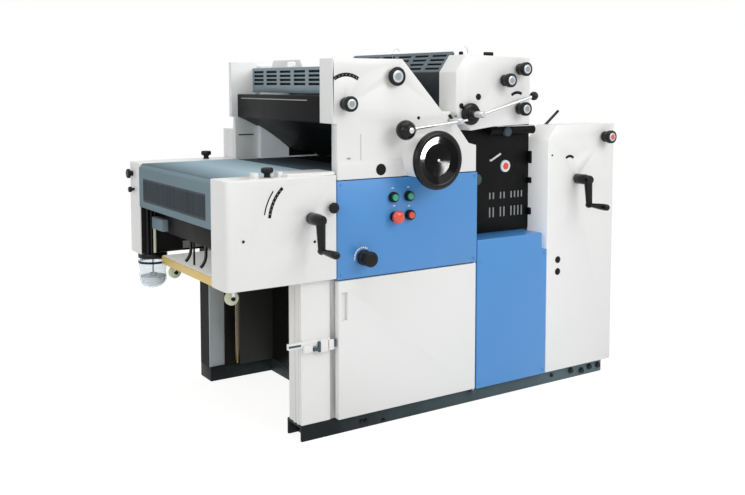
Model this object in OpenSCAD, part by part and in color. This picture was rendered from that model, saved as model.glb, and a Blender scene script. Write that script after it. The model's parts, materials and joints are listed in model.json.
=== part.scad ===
// Two-head sheet-fed printing machine for paper bags, standing on a level floor.
// +X runs from the delivery end to the feeder end, the operator stands on the -Y side, +Z is up.
// The origin is on the floor, at the plan centre of the covers.

/* [Overall] */
// Depth of the covers outside each side frame
cover_depth = 130; // [110:1:150]
// Width over the outer faces of the side frames
frame_w = 740; // [700:1:780]
// Thickness of each side frame
frame_t = 30; // [20:1:40]
// Open seam between neighbouring covers
seam = 3; // [2:0.5:5]
// Length of the delivery side boxes
delivery_len = 438; // [400:1:480]
// Length of the control panel and the door below it
panel_len = 660; // [620:1:720]
// Length of the column panel
column_len = 384; // [360:1:420]
// Length of the feeder side boxes
feeder_len = 397; // [360:1:440]

/* [Base] */
// Height of the base rails
base_h = 62; // [50:1:80]
// How far each base rail reaches in past the outer face of its side frame
rail_in = 13; // [8:1:20]
// Thickness of the base pan between the rails
pan_t = 8; // [5:1:12]
// Width of the two cross rails of the base
cross_rail_w = 60; // [40:1:80]
// Length of the open pile well between the delivery end of the rails and the body
well_len = 296; // [270:1:320]
// Setback of the base behind the outer covers
base_setback = 30; // [20:1:40]
// Overhang of the delivery boxes beyond the base
delivery_overhang = 304; // [280:1:330]
// Overhang of the feeder boxes beyond the base
feeder_overhang = 22; // [10:1:30]

/* [Delivery end] */
// Height of the delivery boxes' underside above that of the control panel
box_lift = 5; // [0:1:20]
// Height of the delivery boxes
box_h = 385; // [360:1:410]
// Radius of the outer upright corner of a delivery box
box_corner = 22; // [8:1:40]
// Length of the raised lid on the front delivery box
lid_len = 196; // [160:1:230]
// Height of that lid
lid_h = 12; // [6:1:18]
// Height of the end face of the hood
hood_h = 180; // [150:1:200]
// Sheet thickness of the hood and deck
hood_t = 4; // [3:0.5:6]
// Drop of the hood's top below the top of the boxes
hood_drop = 2; // [1:1:8]
// Width of the plain margin beside the perforated field in the hood's end face
grille_margin = 45; // [30:1:80]
// Height of that field
grille_h = 96; // [80:1:120]
// Length of the front post along the machine
post_len = 136; // [110:1:150]
// Clearance between the front post and the side frame
post_clear = 5; // [3:0.5:8]
// Length of the rear post, a channel
rear_post_len = 72; // [60:1:90]
// Wall of the rear post
rear_post_wall = 8; // [5:1:12]
// Length of a pile guide
guide_len = 48; // [40:1:52]
// Depth of a pile guide
guide_w = 18; // [12:1:18]

/* [Pile board] */
// Clearance between the pile board and each side frame
board_clear = 7; // [5:0.5:12]
// Length of the pile board
board_len = 515; // [480:1:525]
// Thickness of the pile board
board_t = 34; // [25:1:40]
// Drop of the board's underside below the delivery boxes when it is up
board_drop = 41; // [36:1:60]
// Setback of the board's end from the delivery end
board_setback = 79; // [60:1:90]
// Diameter of a castor wheel under the board
castor_d = 52; // [46:1:58]
// Width of a castor wheel
castor_w = 26; // [20:1:32]

/* [Door and panels] */
// Height of the door
door_h = 522; // [480:1:540]
// Depth of the folded door pan
door_t = 25; // [20:1:28]
// Sheet thickness of the door pan
door_skin = 4; // [3:0.5:6]
// Clearance round the door
door_gap = 5; // [4:0.5:7]
// Diameter of the door's pivot pins
pivot_d = 8; // [6:1:10]
// Height of the control panel
panel_h = 366; // [340:1:380]
// Height of the column panel above the base
column_h = 616; // [580:1:640]
// Height of the wide foot of the column panel
column_foot_h = 544; // [500:1:560]
// Length of the notch beside the top of the column panel
column_notch = 28; // [15:1:40]
// Thickness of the black panel in the recess
recess_t = 6; // [4:1:8]

/* [Feeder end] */
// Height of the feeder boxes above the control panel
feeder_rise = 174; // [150:1:200]
// Length of the chamfer on the inner top corner
feeder_chamfer_x = 51; // [30:1:70]
// Drop of that chamfer
feeder_chamfer_z = 62; // [40:1:80]
// Drop of the feed table's underside below the feeder boxes
table_drop = 150; // [125:1:195]
// Thickness of the feed table
table_t = 18; // [12:1:24]

/* [First print head] */
// Height of the first head above the control panel
head_h = 445; // [420:1:460]
// Height of its nose above the control panel
nose_h = 242; // [230:1:255]
// Length of the slope from the top edge down to the nose
head_slope_len = 192; // [170:1:210]
// Distance of the nose from the column
nose_in = 178; // [160:1:190]
// How far the upper cover's side wall stops short of the side frame
head_lip_in = 33; // [20:1:45]
// Depth of the lower cover's side wall
head_low_lip = 42; // [30:1:60]
// Height of the lower cover, up to the step
head_low_h = 206; // [180:1:220]
// Overhang of the upper cover to the delivery side
head_overhang = 18; // [10:1:30]
// Height of the raised strip along the bottom
strip_h = 64; // [50:1:80]
// Length of that strip
strip_len = 287; // [240:1:320]
// How far the strip stands out
strip_t = 4; // [2:1:8]

/* [Second print head] */
// Height of the second head
second_h = 288; // [270:1:300]
// Height of its bottom edge above the feeder boxes
second_lift = 5; // [3:1:12]
// Length of the second head
second_len = 392; // [370:1:410]
// How far its side wall stops short of the side frame
second_lip_in = 18; // [8:1:30]

/* [Guards and rollers] */
// Sheet thickness of the guards
guard_t = 3; // [2:0.5:5]
// Number of slot rows in a guard
guard_rows = 4; // [3:1:5]
// Number of slot columns in a guard
guard_cols = 6; // [4:1:7]
// Height of a slot
slot_h = 10; // [6:1:14]
// Length of a slot
slot_len = 96; // [60:1:104]
// Setback of the first vent guard behind the delivery side of its covers
vent_in = 103; // [95:1:112]
// Setback of the ink guard's face behind the lower covers
ink_guard_in = 11; // [5:1:20]
// Height of that face above the step of the covers
ink_guard_rise = 99; // [80:1:110]
// Height of the ink guard's low edge above the control panel
ink_guard_low = 52; // [40:1:70]
// Length of that low edge
ink_guard_foot = 20; // [12:1:30]
// Clearance between the ink guard and the first print cylinder
ink_guard_clear = 58; // [40:1:80]
// Diameter of an ink roller
ink_roller_d = 66; // [50:1:76]
// Clearance between the first vent guard and the nearest ink roller
roller_clear = 89; // [60:1:100]
// Drop of the highest ink roller's axis below the top of its head
roller_drop = 64; // [55:1:75]
// Pitch of the ink rollers along the first head
roller_pitch = 64; // [55:1:70]
// Fall from one of those rollers to the next
roller_fall = 52; // [45:1:60]
// Distance of the second head's first roller from the feeder end of that head
second_roller_in = 210; // [190:1:220]
// Pitch of the ink rollers along the second head
second_roller_pitch = 72; // [70:1:80]
// Fall from one of those rollers to the next
second_roller_fall = 12; // [0:1:20]
// Diameter of a print cylinder
cylinder_d = 170; // [150:1:180]
// Distance of the first print cylinder's axis from the nose of the first head
cylinder_in = 60; // [50:1:80]
// Drop of the print cylinders' axes below that nose
cylinder_drop = 140; // [130:1:150]
// Pitch of the print cylinders
cylinder_pitch = 190; // [185:1:200]

/* [Handwheel and cranks] */
// Diameter of the handwheel
wheel_d = 226; // [200:1:240]
// Depth of the handwheel's rim
wheel_rim = 30; // [24:1:36]
// Diameter of the round boss behind the handwheel
boss_d = 190; // [160:1:200]
// How far that boss stands out
boss_h = 70; // [50:1:80]
// Diameter of the turning shafts
shaft_d = 14; // [10:1:18]
// Running clearance of shafts and pins, on the diameter
fit = 0.6; // [0.4:0.1:1]
// Depth to which a shaft enters its cover
shaft_depth = 25; // [15:1:40]
// Throw of the cranks
crank_r = 108; // [90:1:120]
// Length of a crank's hub
crank_hub = 85; // [70:1:95]
// Length of a crank's grip
crank_grip = 110; // [90:1:120]
// Distance of the delivery crank from the inner end of its box
delivery_crank_in = 109; // [95:1:120]
// Height of the delivery crank above the underside of its box
delivery_crank_up = 235; // [210:1:250]
// Distance of the feeder crank from the inner end of its box
feeder_crank_in = 165; // [140:1:190]
// Drop of the feeder crank below the top of its box
feeder_crank_drop = 235; // [210:1:260]

/* [Levers and knobs] */
// Length of the print lever from pivot to ball
lever_len = 258; // [230:1:270]
// Diameter of the print lever's ball
lever_ball = 76; // [60:1:80]
// Length of the second head's lever
second_lever_len = 284; // [250:1:300]
// Diameter of the second lever's ball
second_ball = 36; // [30:1:44]
// Diameter of the lever bars
bar_d = 15; // [10:1:16]
// Diameter of the dial at the top of the first head
dial_d = 72; // [60:1:76]
// Length of that dial
dial_len = 20; // [15:1:28]
// Diameter of an adjusting knob
knob_d = 57; // [48:1:62]
// Length of an adjusting knob
knob_len = 46; // [38:1:48]
// Gap between a knob and its cover
knob_gap = 5; // [4:0.5:8]

/* [Fixed knobs] */
// Diameter of a clamp knob on top of a delivery box
clamp_d = 44; // [36:1:50]
// Height of a clamp knob
clamp_h = 34; // [26:1:40]
// Distance of the clamp knobs from the outer face of their box
clamp_in = 60; // [40:1:80]
// Distance of the front clamp knob from the delivery end
front_clamp_x = 187; // [150:1:220]
// Distance of the rear clamp knob from the delivery end
rear_clamp_x = 330; // [300:1:360]
// Diameter of a fixed knob on a side of a delivery box
side_knob_d = 40; // [32:1:46]
// Length of such a knob
side_knob_len = 24; // [18:1:30]
// Diameter of the small knob under the rear one
low_knob_d = 24; // [18:1:30]
// Distance of the rear side knob from the outer face of its box
side_knob_in = 47; // [30:1:60]
// Drop of the rear side knob below the top of its box
side_knob_drop = 49; // [35:1:60]
// Distance of the small knob from the outer face of its box
low_knob_in = 66; // [50:1:80]
// Drop of the small knob below the top of its box
low_knob_drop = 115; // [95:1:130]
// Distance of the front side knob from the inner end of its box
front_knob_in = 21; // [21:1:40]
// Height of the front side knob above the underside of its box
front_knob_up = 267; // [240:1:290]

/* [Hidden] */
$fn = 64;
eps = 0.5;
frame_y = frame_w / 2;
half_w = frame_y + cover_depth;
frame_in = frame_y - frame_t;
// Stations along the machine, from the delivery end to the feeder end
total_len = delivery_len + panel_len + column_len + feeder_len + 3 * seam;
x_end = -total_len / 2;
x_box1 = x_end + delivery_len;
x_panel0 = x_box1 + seam;
x_panel1 = x_panel0 + panel_len;
x_column0 = x_panel1 + seam;
x_column1 = x_column0 + column_len;
x_feeder0 = x_column1 + seam;
x_feeder1 = x_feeder0 + feeder_len;
x_base0 = x_end + delivery_overhang;
x_base1 = x_feeder1 - feeder_overhang;
x_body = x_base0 + well_len;
guide_x = x_base0 + rear_post_len;
base_y = half_w - base_setback;
// Widths that follow from the side frames
rail_w = base_y - frame_y + rail_in;
post_w = base_y - frame_y - post_clear;
grille_w = frame_w - 2 * grille_margin;
board_w = 2 * (frame_in - board_clear);
head_lip = cover_depth - head_lip_in;
second_lip = cover_depth - second_lip_in;
// Levels
door_z = base_h + seam;
panel_z = door_z + door_h + door_gap;
panel_top = panel_z + panel_h;
head_z = panel_top + seam;
box_z = panel_z + box_lift;
box_top = box_z + box_h;
hood_top = box_top - hood_drop;
board_z = box_z - board_drop;
feeder_top = head_z + feeder_rise;
table_z = feeder_top - table_drop;
head_top = head_z + head_h;
head_step_z = head_z + head_low_h;
head_nose_z = head_z + nose_h;
second_bottom = feeder_top + second_lift;
second_top = second_bottom + second_h;
grille_z = hood_top - hood_h + 26;
// Gripper housing under the hood
crossbar_x = x_end + 70;
crossbar_h = 95;
crossbar_z = hood_top - hood_h - crossbar_h - 4;
// First head, from its lower delivery-side corner
head_x0 = x_panel0;
head_up_x0 = head_x0 - head_overhang;
head_nose_x = x_panel1 - nose_in;
head_slope_x = head_nose_x - head_slope_len;
head_shoulder_z = head_z + 106;
head_x1 = x_panel1 - 7;
head_back_x = head_up_x0 + 121;
vent_x = head_up_x0 + vent_in;
cylinder_x = head_nose_x - cylinder_in;
// Second head, from its delivery side
second_x0 = head_nose_x + 65;
second_x1 = second_x0 + second_len;
second_cut_z = second_top - 69;
second_back_x = second_x0 + 86;
second_low_x = second_x0 + 77;
// Door pivot, close to the door's outer corner so that the edge turns on itself
pivot_r = 7;
pivot_x = x_column0 - door_gap - pivot_r;
pivot_y = -half_w + pivot_r;
// Turning pieces, as [x, z]
delivery_crank_at = [x_box1 - delivery_crank_in, box_z + delivery_crank_up];
feeder_crank_at = [x_feeder0 + feeder_crank_in, feeder_top - feeder_crank_drop];
wheel_at = [head_nose_x - 98, head_z + 63];
print_lever_at = [head_nose_x + 38, head_nose_z - 36];
second_lever_at = [second_x0 + 66, second_bottom + 52];
speed_knob_at = [x_panel0 + 111, panel_z + 75];
first_knobs_at = [[head_slope_x - 38, head_top - 66], [head_up_x0 + 50, head_top - 166]];
second_knobs_at = [[second_x1 - 145, second_top - 102], [second_x1 - 62, second_top - 56],
    [second_x1 - 62, second_top - 219]];
feeder_knob_at = [x_feeder1 - 63, feeder_top - 57];
// Planes of the two levers, clear of the knobs and of the handwheel
print_lever_y = -half_w - 60;
second_lever_y = -half_w - 78;

// Shared shapes

// A block between two corners
module block(from, to) {
    translate(from) cube(to - from);
}

// An outline in X and Z, from the plane y0 back to the plane y1
module slab_y(y0, y1) {
    translate([0, y1, 0]) rotate([90, 0, 0]) linear_extrude(y1 - y0) children();
}

// An outline in Y and Z, from the plane x0 to the plane x1
module slab_x(x0, x1) {
    translate([x0, 0, 0]) rotate([90, 0, 90]) linear_extrude(x1 - x0) children();
}

// A shape placed on a front plane, with its own +Z pointing out towards the operator
module on_front(at, y) {
    translate([at[0], y, at[1]]) rotate([90, 0, 0]) children();
}

// The blind bore that takes a shaft in a cover whose face is at y
module shaft_bore(at, y) {
    on_front(at, y) translate([0, 0, -shaft_depth - fit])
        cylinder(d = shaft_d + fit, h = shaft_depth + fit + eps);
}

// A shaft that enters its cover and reaches out by a given length
module shaft(out) {
    translate([0, 0, -shaft_depth]) cylinder(d = shaft_d, h = shaft_depth + out);
}

// A curved slot of one radius, cut into a front face
module arc_slot(at, y, r, from, sweep, w) {
    depth = 6;
    on_front(at, y) rotate([0, 0, from]) translate([0, 0, -depth]) rotate_extrude(angle = sweep)
        translate([r - w / 2, 0]) square([w, depth + eps]);
}

module rear() {
    mirror([0, 1, 0]) children();
}

// Base and frames

module base_frame() {
    lug_w = 24;
    lug_h = 12;
    notch_depth = 40;
    rail_wall = 12;
    color("darkslategray") difference() {
        union() {
            for (side = [-1, 1])
                block([x_base0, side > 0 ? base_y - rail_w : -base_y, 0],
                    [x_base1, side > 0 ? base_y : rail_w - base_y, base_h]);
            block([x_body, rail_w - base_y, 0], [x_base1, base_y - rail_w, pan_t]);
            for (x = [x_body, x_base1 - cross_rail_w])
                block([x, rail_w - base_y, 0], [x + cross_rail_w, base_y - rail_w, base_h]);
            block([pivot_x - lug_w / 2, pivot_y - lug_w / 4, door_z - door_gap - lug_h],
                [pivot_x + lug_w / 2, -base_y, door_z - door_gap]);
        }
        block([x_base0 - eps, rail_wall - base_y, -eps],
            [x_base0 + notch_depth, rail_w - rail_wall - base_y, base_h - rail_wall]);
        translate([pivot_x, pivot_y, 0]) cylinder(d = pivot_d + fit, h = base_h);
    }
}

module side_frame_outline() {
    top_clear = 16;
    polygon([[x_box1, base_h], [x_feeder1 - 44, base_h], [x_feeder1 - 44, feeder_top - 55],
        [second_x1 - 6, feeder_top - 55], [second_x1 - 6, second_top - 28],
        [second_back_x, second_top - 28], [second_back_x, head_nose_z - 8],
        [head_nose_x + 6, head_nose_z - 8], [head_slope_x - 2, head_top - top_clear],
        [head_back_x + 5, head_top - top_clear], [head_back_x + 5, head_z], [x_box1, head_z]]);
}

module front_side_frame() {
    color("dimgray") slab_y(-frame_y, -frame_in) side_frame_outline();
}

module rear_side_frame() {
    color("dimgray") slab_y(frame_in, frame_y) side_frame_outline();
}

module body_end_panel() {
    panel_t = 6;
    color("black") block([x_body, -frame_in, base_h], [x_body + panel_t, frame_in, hood_top - hood_t]);
}

// The white post, with a rebate that reaches in behind the door's edge
module front_post() {
    strip_w = 14;
    strip_depth = 6;
    flange_len = 16;
    flange_t = 10;
    x1 = x_base0 + post_len;
    color("whitesmoke") difference() {
        union() {
            block([x_base0, -base_y, base_h], [x1, post_w - base_y, box_z]);
            block([x1 - 1, strip_depth - base_y, base_h],
                [x1 + flange_len, strip_depth + flange_t - base_y, panel_z - door_gap]);
        }
        block([x1 - strip_w, -base_y - eps, base_h - eps], [x1 + eps, strip_depth - base_y, box_z + eps]);
    }
}

module rear_post() {
    depth = rail_w - 10;
    color("slategray") difference() {
        block([x_base0, base_y - depth, base_h], [x_base0 + rear_post_len, base_y, box_z]);
        block([x_base0 + rear_post_wall, base_y - depth + rear_post_wall, base_h - eps],
            [x_base0 + rear_post_len - rear_post_wall, base_y + eps, box_z + eps]);
    }
}

module pile_guides() {
    color("black") for (side = [-1, 1])
        block([guide_x, side > 0 ? base_y - rail_w : rail_w - base_y - guide_w, base_h],
            [guide_x + guide_len, side > 0 ? base_y - rail_w + guide_w : rail_w - base_y, box_z]);
}

// Delivery end

module delivery_box_outline() {
    translate([x_end, -half_w]) difference() {
        square([delivery_len, half_w - frame_y]);
        difference() {
            translate([-eps, -eps]) square(box_corner + eps);
            translate([box_corner, box_corner]) circle(box_corner);
        }
    }
}

module delivery_box() {
    translate([0, 0, box_z]) linear_extrude(box_h) delivery_box_outline();
}

module delivery_box_front() {
    scale_at = [x_end + 330, box_z + 230];
    lid_in = 4;
    color("whitesmoke") difference() {
        union() {
            delivery_box();
            block([x_box1 - lid_in - lid_len, -half_w + lid_in, box_top - 1],
                [x_box1 - lid_in, -frame_y - lid_in, box_top + lid_h]);
        }
        shaft_bore(delivery_crank_at, -half_w);
        arc_slot(scale_at, -half_w, 165, 133, 41, 12);
        arc_slot(scale_at, -half_w, 186, 143, 28, 5);
    }
}

module delivery_box_rear() {
    color("whitesmoke") rear() delivery_box();
}

module delivery_hood() {
    bend = 16;
    lip = 14;
    outer = [[x_end, hood_top - hood_h], [x_end, hood_top - bend], [x_end + bend, hood_top],
        [x_box1, hood_top], [x_box1, hood_top - hood_t], [x_end + bend, hood_top - hood_t],
        [x_end + hood_t, hood_top - bend], [x_end + hood_t, hood_top - hood_h + hood_t],
        [x_end + lip, hood_top - hood_h + hood_t], [x_end + lip, hood_top - hood_h]];
    color("lightslategray") difference() {
        slab_y(-frame_y, frame_y) polygon(outer);
        block([x_end - eps, -grille_w / 2, grille_z],
            [x_end + hood_t + eps, grille_w / 2, grille_z + grille_h]);
    }
}

// A slotted sheet let into the hood's end face
module hood_grille() {
    slots = 24;
    pitch = grille_w / (slots + 1);
    slot_w = 12;
    rim = 8;
    color("darkslategray") difference() {
        block([x_end + 1, -grille_w / 2, grille_z], [x_end + 3, grille_w / 2, grille_z + grille_h]);
        for (i = [1:slots])
            block([x_end, i * pitch - grille_w / 2 - slot_w / 2, grille_z + rim],
                [x_end + 4, i * pitch - grille_w / 2 + slot_w / 2, grille_z + grille_h - rim]);
    }
}

module deck_plate() {
    deck_len = 246;
    color("slategray")
        block([x_box1, -frame_in, hood_top - hood_t], [x_box1 + deck_len, frame_in, hood_top]);
}

// The black gripper housing under the hood, with two arms back to the body
module delivery_crossbar() {
    bar_len = 180;
    arm_w = 40;
    arm_h = 30;
    color("black") {
        block([crossbar_x, -frame_y, crossbar_z], [crossbar_x + bar_len, frame_y, crossbar_z + crossbar_h]);
        for (y = [-0.47, 0.265] * frame_in)
            block([crossbar_x + bar_len, y, crossbar_z + 35],
                [x_body, y + arm_w, crossbar_z + 35 + arm_h]);
    }
}

module stop_fingers() {
    finger_w = 14;
    thick = 9;
    bend_r = 60;
    color("black") for (y = [-0.676, -0.265, 0.176] * frame_in)
        translate([crossbar_x + 22, y, crossbar_z]) rotate([90, 0, 0]) linear_extrude(finger_w) union() {
            translate([0, -40]) square([thick, 40]);
            translate([-bend_r, -40]) rotate([0, 0, -50]) difference() {
                circle(bend_r + thick);
                circle(bend_r);
                translate([-bend_r * 2, -bend_r * 2]) square([bend_r * 4, bend_r * 2]);
                rotate([0, 0, 50]) translate([-bend_r * 2, 0]) square([bend_r * 4, bend_r * 2]);
            }
        }
}

// Pile board with its guide shoes

board_x0 = x_end + board_setback;
shoe_gap = fit / 2;

module pile_board() {
    reach = base_y - rail_w - shoe_gap;
    color("burlywood") {
        block([board_x0, -board_w / 2, board_z], [board_x0 + board_len, board_w / 2, board_z + board_t]);
        for (side = [-1, 1])
            block([guide_x, side > 0 ? board_w / 2 : -reach, board_z],
                [guide_x + guide_len, side > 0 ? reach : -board_w / 2, board_z + board_t]);
    }
}

module pile_castors() {
    castor_in = 50;
    drop = 31;
    fork_t = 6;
    fork_w = castor_w + 2 * fork_t;
    color("beige") for (x = [board_x0 + 37, board_x0 + board_len - 80], side = [-1, 1])
        translate([x, side * (board_w / 2 - castor_in), board_z - drop]) {
            rotate([90, 0, 0]) cylinder(d = castor_d, h = castor_w, center = true);
            rotate([90, 0, 0]) cylinder(d = 12, h = fork_w, center = true);
            for (s = [-1, 1])
                translate([-14, s * (castor_w / 2 + fork_t / 2) - fork_t / 2, -10])
                    cube([28, fork_t, drop + 10]);
        }
}

// The glass filter jar at the rear of the delivery end
jar_at = [x_end + 64, frame_y + 29];
jar_d = 116;

module filter_jar() {
    jar_h = 130;
    wall = 4;
    z1 = box_z - 20;
    color("lightcyan") translate([jar_at[0], jar_at[1], z1 - jar_h]) rotate_extrude()
        polygon([[0, 0], [jar_d * 0.36, 0], [jar_d * 0.46, 12], [jar_d / 2, 40], [jar_d / 2, jar_h],
            [jar_d / 2 - wall, jar_h], [jar_d / 2 - wall, 40], [jar_d * 0.46 - wall, 14],
            [jar_d * 0.36 - 2, wall], [0, wall]]);
}

module jar_fittings() {
    pipe_d = 14;
    color("black") {
        translate([jar_at[0], jar_at[1], box_z - 20]) cylinder(d = jar_d + 6, h = 20);
        for (dx = [-34, -18, -2])
            translate([jar_at[0] + dx, jar_at[1] - 38, box_z])
                cylinder(d = pipe_d, h = hood_top - hood_t - box_z);
    }
}

module latch_bar() {
    bar_h = 22;
    bar_t = 14;
    overhang = 60;
    z0 = base_h + 294;
    color("gainsboro") block([x_base0 - overhang, -base_y - bar_t, z0],
        [x_base0 + post_len - 20, -base_y, z0 + bar_h]);
}

// Door and front panels

module lower_door() {
    x0 = x_base0 + post_len + door_gap;
    x1 = x_column0 - door_gap;
    rim = 16;
    grip = [24, 14, 105];
    grip_in = 16;
    grip_z = door_z + door_h - 45 - grip[2];
    pin_reach = 13;
    color("whitesmoke") difference() {
        union() {
            difference() {
                translate([0, 0, door_z]) linear_extrude(door_h) union() {
                    translate([x0, -half_w]) square([x1 - x0 - pivot_r, door_t]);
                    translate([pivot_x, pivot_y]) circle(pivot_r);
                    translate([x0, pivot_y]) square([x1 - x0, door_t - pivot_r]);
                }
                block([x0 + rim, door_skin - half_w, door_z + rim],
                    [x1 - rim * 2, door_t - half_w + eps, door_z + door_h - rim]);
            }
            block([x0 + rim - 1, -half_w + 1, grip_z - 6],
                [x0 + grip_in + grip[0] + 8, door_t - half_w, grip_z + grip[2] + 6]);
            for (z = [door_z - pin_reach, door_z + door_h - eps])
                translate([pivot_x, pivot_y, z]) cylinder(d = pivot_d, h = pin_reach + eps);
        }
        block([x0 + grip_in, -half_w - eps, grip_z],
            [x0 + grip_in + grip[0], grip[1] - half_w, grip_z + grip[2]]);
    }
}

module control_panel() {
    color("steelblue") difference() {
        block([x_panel0, -half_w, panel_z], [x_panel1, -frame_y, panel_top]);
        translate([pivot_x, pivot_y, panel_z - eps]) cylinder(d = pivot_d + fit, h = 14 + eps);
        shaft_bore(speed_knob_at, -half_w);
    }
}

module column_panel() {
    color("steelblue") slab_y(-half_w, -frame_y) polygon([[x_column0, base_h], [x_column1, base_h],
        [x_column1, base_h + column_foot_h], [x_column1 - column_notch, base_h + column_foot_h],
        [x_column1 - column_notch, base_h + column_h], [x_column0, base_h + column_h]]);
}

// The recess between the second head and the feeder box

module recess_outline() {
    polygon([[x_panel1 + seam, base_h + column_h + seam], [x_feeder0 - eps, base_h + column_h + seam],
        [x_feeder0 - eps, second_bottom], [second_low_x, second_bottom - 15],
        [head_nose_x + 45, head_nose_z - 8], [head_nose_x + 85, head_nose_z - 64],
        [head_x1 + 2, head_shoulder_z - 2], [x_panel1 + seam, head_z]]);
}

module recess_panel_front() {
    slot_w = 9;
    slot_pitch = 20;
    slot_x = x_column0 + 165;
    slot_rows = [[base_h + column_h + 64, 44], [base_h + column_h + 142, 30]];
    color("black") difference() {
        slab_y(-frame_y - recess_t, -frame_y) recess_outline();
        for (row = slot_rows, i = [0, 1, 3, 4, 6, 7, 8, 9])
            block([slot_x + i * slot_pitch, -frame_y - recess_t - eps, row[0]],
                [slot_x + i * slot_pitch + slot_w, -frame_y - recess_t / 2, row[0] + row[1]]);
    }
}

module recess_panel_rear() {
    color("black") rear() slab_y(-frame_y - recess_t, -frame_y) recess_outline();
}

// The plain covers of the far side, below the heads
module rear_body_cover() {
    color("whitesmoke") rear() {
        block([x_panel0, -half_w, base_h], [x_panel1, -frame_y, panel_top]);
        block([x_panel0, -half_w, base_h], [x_column1, -frame_y, base_h + column_h]);
    }
}

// Feeder end

module feeder_box() {
    slab_y(-half_w, -frame_y) polygon([[x_feeder0, base_h], [x_feeder1, base_h],
        [x_feeder1, feeder_top], [x_feeder0 + feeder_chamfer_x, feeder_top],
        [x_feeder0, feeder_top - feeder_chamfer_z]]);
}

module feeder_box_front() {
    scale_at = [x_feeder0 + 126, feeder_top - 170];
    color("whitesmoke") difference() {
        feeder_box();
        shaft_bore(feeder_crank_at, -half_w);
        shaft_bore(feeder_knob_at, -half_w);
        arc_slot(scale_at, -half_w, 34, 48, 84, 11);
    }
}

module feeder_box_rear() {
    color("whitesmoke") rear() feeder_box();
}

module feed_table() {
    color("slategray")
        block([second_x1 + 24, -frame_in, table_z], [x_feeder1 - 12, frame_in, table_z + table_t]);
}

module feeder_end_panel() {
    panel_t = 6;
    x = x_base1 - 34;
    color("slategray") block([x, -frame_in, base_h], [x + panel_t, frame_in, table_z]);
}

module feed_rod() {
    rod_d = 12;
    rod_len = 100;
    lean = 52;
    color("black") difference() {
        translate([x_feeder0 + 72, -frame_y - 30, feeder_top - 4]) rotate([0, lean, 0])
            cylinder(d = rod_d, h = rod_len);
        block([x_feeder0, -half_w, feeder_top - 40], [x_feeder1, -frame_in, feeder_top]);
    }
}

// Print heads

module head_outline() {
    polygon([[head_x0, head_z], [head_x1, head_z], [head_x1, head_shoulder_z],
        [head_x1 - 39, head_shoulder_z + 10], [head_nose_x + 81, head_nose_z - 64],
        [head_nose_x + 36, head_nose_z + 2], [head_nose_x, head_nose_z], [head_slope_x, head_top],
        [head_up_x0, head_top], [head_up_x0, head_step_z], [head_x0, head_step_z]]);
}

module head_cover() {
    difference() {
        slab_y(-half_w, -frame_y) head_outline();
        block([head_up_x0 - eps, -half_w + head_lip, head_step_z - eps],
            [head_back_x, -frame_y + eps, head_top + eps]);
        block([head_x0 - eps, -half_w + head_low_lip, head_z - eps],
            [head_back_x, -frame_y + eps, head_step_z]);
    }
}

module head_cover_front() {
    color("whitesmoke") difference() {
        union() {
            head_cover();
            block([head_x0, -half_w - strip_t, head_z], [head_x0 + strip_len, -half_w, head_z + strip_h]);
            on_front(wheel_at, -half_w) intersection() {
                cylinder(d = boss_d, h = boss_h);
                translate([-boss_d, head_z - wheel_at[1], 0]) cube(boss_d * 2);
            }
        }
        shaft_bore(wheel_at, -half_w - boss_h);
        shaft_bore(print_lever_at, -half_w);
        for (at = first_knobs_at)
            shaft_bore(at, -half_w);
        arc_slot([head_up_x0 + 58, head_top - 152], -half_w, 92, 56, 68, 14);
    }
}

// The far side has a plain plate above a deeper lower cover
rear_plate_t = 25;

module head_cover_rear() {
    low_h = 150;
    top_t = 6;
    recess = 24;
    z1 = head_z + low_h;
    color("whitesmoke") rear() {
        slab_y(-frame_y - rear_plate_t, -frame_y) head_outline();
        difference() {
            intersection() {
                block([head_x0, -half_w, head_z], [head_x1, -frame_y, z1]);
                slab_y(-half_w, -frame_y) head_outline();
            }
            block([head_x0 - eps, -half_w + head_low_lip, head_z - eps],
                [head_x0 + recess, -frame_y - rear_plate_t, z1 - top_t]);
        }
    }
}

module second_head_outline() {
    polygon([[second_x0 + 50, second_top], [second_x1, second_top - 7], [second_x1, second_bottom + 4],
        [second_x1 - 199, second_bottom - 2], [second_low_x, second_bottom - 15],
        [second_x0, second_bottom + 60], [second_x0, second_cut_z]]);
}

module second_head_cover() {
    difference() {
        slab_y(-half_w, -frame_y) second_head_outline();
        block([second_x0 - eps, -half_w + second_lip, second_bottom - 40],
            [second_back_x - 5, -frame_y + eps, second_top + eps]);
    }
}

module second_head_cover_front() {
    color("whitesmoke") difference() {
        second_head_cover();
        shaft_bore(second_lever_at, -half_w);
        for (at = second_knobs_at)
            shaft_bore(at, -half_w);
        arc_slot([second_x1 - 70, second_top - 200], -half_w, 48, 60, 70, 12);
    }
}

module second_head_cover_rear() {
    color("whitesmoke") rear() slab_y(-frame_y - rear_plate_t, -frame_y) second_head_outline();
}

// Guards

// Rows of slots across a guard, for a sheet lying in Y and Z
module guard_slots(z0, row_pitch) {
    col_pitch = 2 * (half_w - head_lip) / (guard_cols + 0.5);
    for (i = [0:guard_cols - 1], j = [0:guard_rows - 1])
        translate([(i + 0.5 - guard_cols / 2) * col_pitch - slot_len / 2, z0 + j * row_pitch])
            square([slot_len, slot_h]);
}

module vent_guard_first() {
    x = vent_x;
    z0 = head_top - 132;
    h = 106;
    half = half_w - head_lip;
    tab_y = [-89, 187];
    tab_h = 30;
    color("slategray") difference() {
        slab_x(x, x + guard_t) difference() {
            union() {
                translate([-half, z0]) square([half + frame_y, h]);
                polygon([[tab_y[0], z0 + h - 1], [tab_y[1], z0 + h - 1], [tab_y[1] - 22, z0 + h + tab_h],
                    [tab_y[0] + 22, z0 + h + tab_h]]);
            }
            guard_slots(z0 + 32, 17);
            translate([tab_y[0] + 60, z0 + h + 3]) square([70, 20]);
        }
    }
}

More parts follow.
